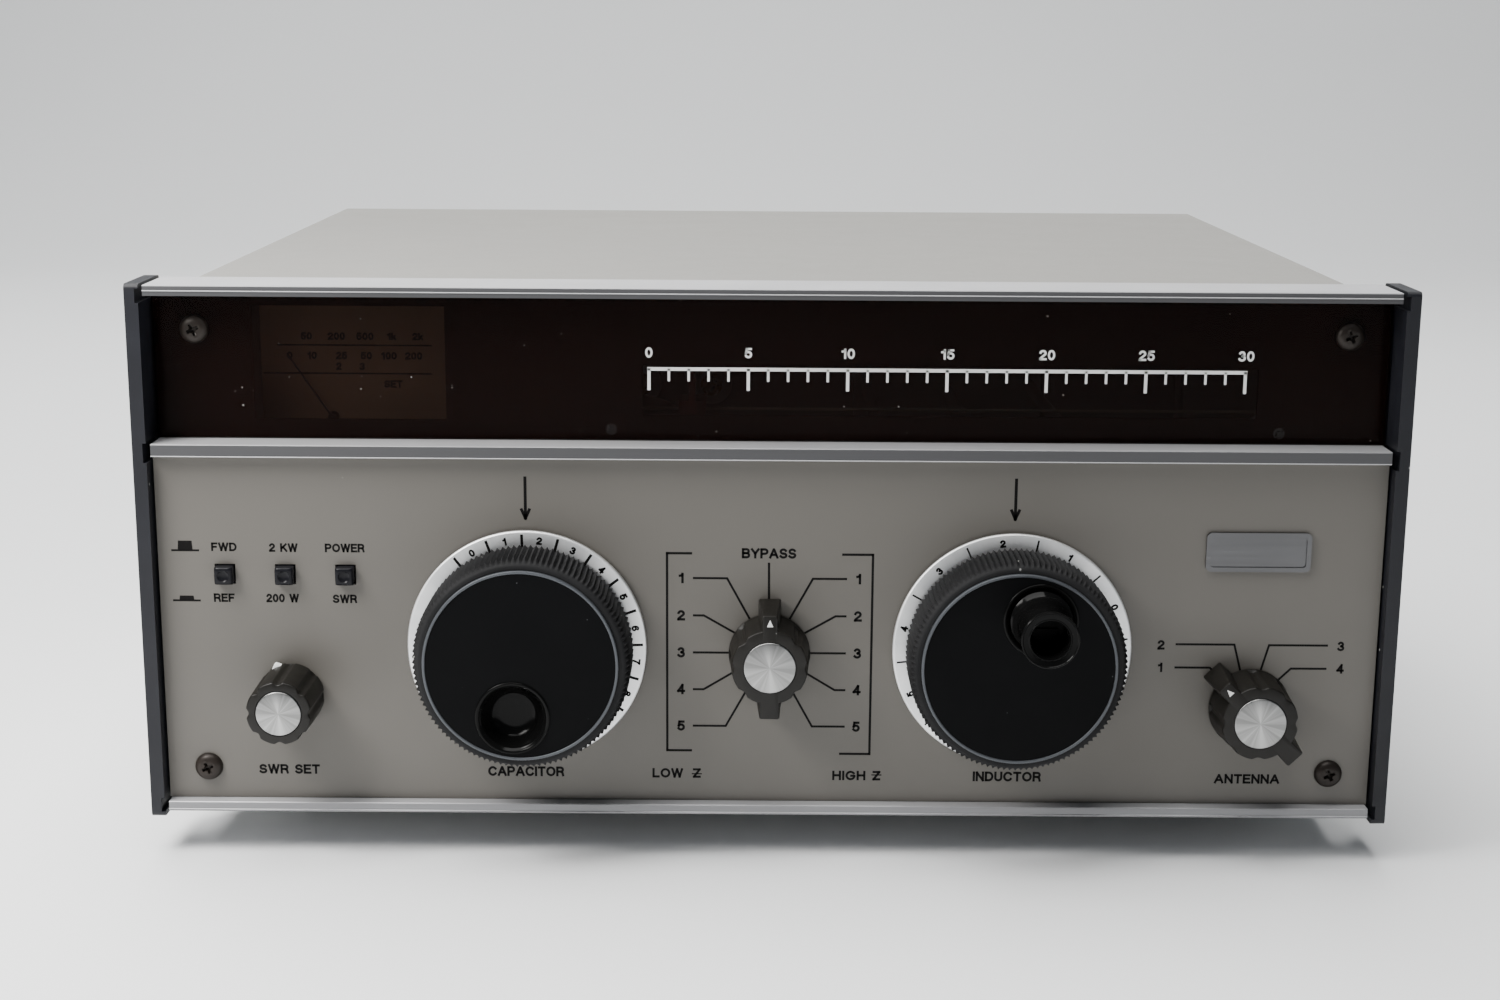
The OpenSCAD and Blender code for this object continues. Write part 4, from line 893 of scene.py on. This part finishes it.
def cap(name, axis, radius, front, body, cad):
    """The spun disc on a small knob's face."""
    # The cap's colour carries painted highlight sectors, 1.75 times as bright, for its spun sheen.
    metal = turned_metal(
        name + "_metal", (0.22, 0.22, 0.217), 0.28, axis, pitch=0.25, depth=0.0025, sheen_gain=1.75, aniso=0.7
    )
    rows = [
        (0, front - 1.0), (radius, front - 1.0), (radius, front - 0.2), (radius - 0.12, front - 0.05),
        (radius - 0.3, front), (0, front + 0.02)
    ]
    piece = lathe(name + "_disc", axis, rows, body, metal, 96, sharp=40)
    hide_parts(cad)


wing_rows = [
    (0, -3.3), (10.6, -3.3), (10.78, -3.15), (10.78, -2.5), (10.7, -2.2, 0.5), (10.6, -1.8, 1.0),
    (9.95, 9.91, 1.0), (9.88, 10.26, 1.0), (9.72, 10.48, 1.0), (9.5, 10.56, 1.0), (6.9, 10.56),
    (6.85, 10.06), (0, 10.06)
]
for name, axis, turn, body in (
    ("mode", MODE, 0.0, "mode_control"),
    ("antenna", ANTENNA, -45.0, "antenna_control"),
):
    grip(name, axis, body, name + "_knob", wing_rows, hollows(count=8, depth=0.6, half=10))
    wing(name, axis, turn, body)
    cap(name, axis, radius=6.75, front=10.85, body=body, cad=name + "_cap")

swr_rows = [
    (0, -3.3), (8.5, -3.3), (8.75, -3.1, 0.6), (8.78, -2.0, 1.0), (8.5, 12.95, 1.0), (8.43, 13.3, 1.0),
    (8.28, 13.52, 1.0), (8.05, 13.6, 1.0), (6.1, 13.6), (6.05, 13.1), (0, 13.1)
]
grip("swr", SWR, "swr_control", "swr_knob", swr_rows, hollows(count=8, depth=0.7, half=10))
cap("swr", SWR, radius=5.88, front=13.85, body="swr_control", cad="swr_cap")
bm = bmesh.new()
nib = [polar(SWR, r, NIB_ANGLE + k) for r, k in ((7.6, 25), (9.7, 1), (9.7, -1), (7.6, -25))]
prism(bm, nib, y0=1.2, y1=3.0, bevel=0.1)
finish_mesh("swr_nib", bm, "swr_control", white_ink)


# ---------- push buttons ----------

def push_cap(name, x, body, cad):
    """A square cap with rounded edges and a round dish in its face, on a square stem."""
    bm = bmesh.new()
    half, front, back, stem_half, stem_end = 2.38, 1.2, 7.0, 1.8, 28.0
    steps, corner = 32, 0.3
    angles = [math.pi / 4 + 2 * math.pi * i / steps for i in range(steps)]
    loops = []
    levels = (
        (back, half), (front + 0.5, half), (front + 0.3, half - 0.06), (front + 0.06, half - 0.38),
        (front, half - 0.5)
    )
    for y, size in levels:
        limit = size * math.sqrt(2) - corner * (math.sqrt(2) - 1)
        loop = []
        for a in angles:
            c, s = math.cos(a), math.sin(a)
            reach = min(size / max(abs(c), abs(s)), limit)
            loop.append(bm.verts.new(at(x + c * reach, y, BUTTON_Z + s * reach)))
        loops.append(loop)
    for r, y in ((1.6, front), (1.5, front + 0.1), (1.1, front + 0.34), (0.6, front + 0.45)):
        loops.append([bm.verts.new(at(x + r * math.cos(a), y, BUTTON_Z + r * math.sin(a))) for a in angles])
    for a, b in zip(loops, loops[1:]):
        band(bm, a, b)
    bm.faces.new(loops[0])
    bm.faces.new(loops[-1])
    left, right = x - stem_half, x + stem_half
    low, high = BUTTON_Z - stem_half, BUTTON_Z + stem_half
    prism(bm, [(left, low), (right, low), (right, high), (left, high)], back, stem_end)
    piece = finish_mesh(name, bm, body, button_black, 40)
    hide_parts(cad)


for x, side in zip(BUTTONS, ("left", "middle", "right")):
    push_cap(side + "_push_cap", x, side + "_push", side + "_button")


# ---------- screws ----------

def cross_screw(name, x, z, y):
    """A pan head with a cross recess whose walls slope."""
    steps = 96

    def cross(a):
        """The recess's radius: arms 24 degrees wide that slope to the corners between them."""
        arm, corner = 2.15, 0.95
        off = abs((math.degrees(a) + 70) % 90 - 45)
        return arm if off < 12 else corner if off > 26 else arm - (off - 12) / 14 * (arm - corner)

    bm = bmesh.new()
    rows = [
        (0, -0.4), (3.55, -0.4), (3.7, -0.2), (3.7, 0.35), (3.6, 0.75), (3.35, 1.2), (2.9, 1.6),
        (2.3, 1.88), (1.6, 2.0)
    ]
    last = revolve(bm, (x, z), [(r, forward - y) for r, forward in rows], steps)[-1]
    for height, scale in ((2.02, 1.0), (1.1, 0.8), (0.6, 0.35)):
        loop = []
        for i in range(steps):
            a = 2 * math.pi * i / steps
            r = cross(a) * scale
            loop.append(bm.verts.new(at(x + r * math.sin(a), y - height, z + r * math.cos(a))))
        band(bm, last, loop)
        last = loop
    bm.faces.new(last)
    return finish_mesh(name, bm, "cabinet", bronze, 30)


heads = [cross_screw("front_screw_%d" % (i + 1), x, z, y) for i, (x, z, y) in enumerate(SCREWS)]
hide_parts("front_screws")

# ---------- printing on the panel ----------

page = Print(PANEL)
# Arrows over the big knobs.
for x, top, tip in ((-64.1, 92.5, 81.3), (64.0, 92.8, 81.9)):
    page.line([(x, top), (x, tip + 1.2)], 0.78)
    page.line([(x - 1.0, tip + 2.7), (x, tip + 0.4), (x + 1.0, tip + 2.7)], 0.75)
# Names of the controls.
for text, x, z, width, height in (
    ("CAPACITOR", -65.0, 12.1, 20.4, 2.75), ("INDUCTOR", 64.0, 11.5, 18.3, 2.75),
    ("SWR SET", -128.5, 12.3, 16.3, 2.65), ("ANTENNA", 128.4, 11.3, 17.5, 2.65),
    ("BYPASS", -0.3, 72.7, 14.3, 2.75), ("LOW", -27.0, 11.9, 8.2, 2.65), ("HIGH", 21.6, 11.5, 8.9, 2.65),
    ("Z", -19.2, 11.9, 2.1, 2.65), ("Z", 29.0, 11.5, 2.1, 2.65),
    ("FWD", -143.4, 73.5, 6.7, 2.3), ("REF", -143.9, 59.7, 5.5, 2.3), ("2 KW", -127.8, 73.4, 7.5, 2.3),
    ("200 W", -128.5, 59.7, 8.6, 2.3), ("POWER", -111.7, 73.4, 10.4, 2.3), ("SWR", -112.1, 59.6, 6.4, 2.3),
):
    page.text(text, x, z, height, width)
# Bars through the two letters Z.
for x in (-19.2, 29.0):
    page.line([(x - 1.2, 11.7), (x + 1.2, 11.7)], 0.3)
# The symbols of a button that is out and one that is in.
for x, z, rise in ((-153.6, 72.5, 2.4), (-153.8, 58.9, 1.1)):
    page.line([(x - 3.4, z), (x + 3.4, z)], 0.5)
    low, high = z + 0.2, z + 0.2 + rise
    page.face([(x - 1.95, low), (x + 1.95, low), (x + 1.8, high), (x - 1.8, high)])
# The mode switch's brackets, leader lines and figures.
page.line([(-20.8, 72.6), (-27.1, 72.6), (-27.1, 18.3), (-20.8, 18.3)], 0.62)
page.line([(19.2, 72.5), (27.0, 72.5), (27.0, 17.6), (19.2, 17.6)], 0.62)
page.line([(-0.3, MODE[1] + 24.2), (-0.2, MODE[1] + 11.5)], 0.6)
for i, (k, bend) in enumerate(((60, 11.3), (30, 17.4), (0, 17.4), (-30, 17.4), (-60, 11.5))):
    for s in (-1, 1):
        z = MODE_ROW_Z - MODE_ROW_STEP * i
        end = (s * 20.0, z)
        if k:
            page.line([polar(MODE, LEADER_RADIUS, s * (90 - k)), (s * bend, z), end], 0.56)
        else:
            page.line([(s * LEADER_RADIUS, z), end], 0.56)
for i in range(5):
    for x in (-23.4, 23.3):
        page.text(str(i + 1), x, MODE_ROW_Z - MODE_ROW_STEP * i, 2.85)
# The antenna switch's figures and leader lines.
for digit, x, z in (("2", 103.7, 48.5), ("1", 103.7, 42.3), ("3", 151.3, 48.4), ("4", 151.5, 42.2)):
    page.text(digit, x, z, 2.6)
for k, z in ((-15, 48.7), (-45, 42.3), (15, 48.6), (45, 42.2)):
    rise = z - ANTENNA[1]
    run = math.tan(math.radians(k)) * rise
    elbow = (ANTENNA[0] + run, z)
    end = (ANTENNA[0] + math.copysign(19.9, k), z)
    page.line([polar(ANTENNA, LEADER_RADIUS, k), elbow, end], 0.55)
page.done("panel_printing", "cabinet", ink)

# ---------- turns scale ----------

page = Print(WINDOW)
turns = 30
page.line([(SCALE_X0, SCALE_Z), (SCALE_X0 + turns * TURN_PITCH, SCALE_Z)], 0.92)
for i in range(turns + 1):
    x = SCALE_X0 + i * TURN_PITCH
    if i % 5:
        page.line([(x, SCALE_Z - 0.2), (x, SCALE_SHORT_Z)], 0.64)
    else:
        page.line([(x, SCALE_Z - 0.2), (x, SCALE_LONG_Z)], 0.82)
        page.text(str(i), x, 124.8, 2.7, weight=0.2)
page.done("scale_printing", "cabinet", white_ink)

# ---------- meter face ----------

page = Print(METER_DIAL)
page.line([(-131.2, 124.3), (-90.5, 124.3)], 0.42)
page.line([(-135.0, 116.7), (-90.7, 116.7)], 0.42)
for text, x, z in (
    ("50", -123.6, 126.7), ("200", -115.6, 126.7), ("500", -108.0, 126.7), ("1k", -101.0, 126.7),
    ("2k", -94.0, 126.7), ("0", -128.2, 121.5), ("10", -122.3, 121.5), ("25", -114.4, 121.5),
    ("50", -107.8, 121.5), ("100", -101.8, 121.5), ("200", -95.2, 121.5), ("2", -115.2, 118.6),
    ("3", -109.0, 118.6), ("SET", -100.8, 113.9),
):
    page.text(text, x, z, 2.0, weight=0.24)
page.done("meter_printing", "cabinet", ink)
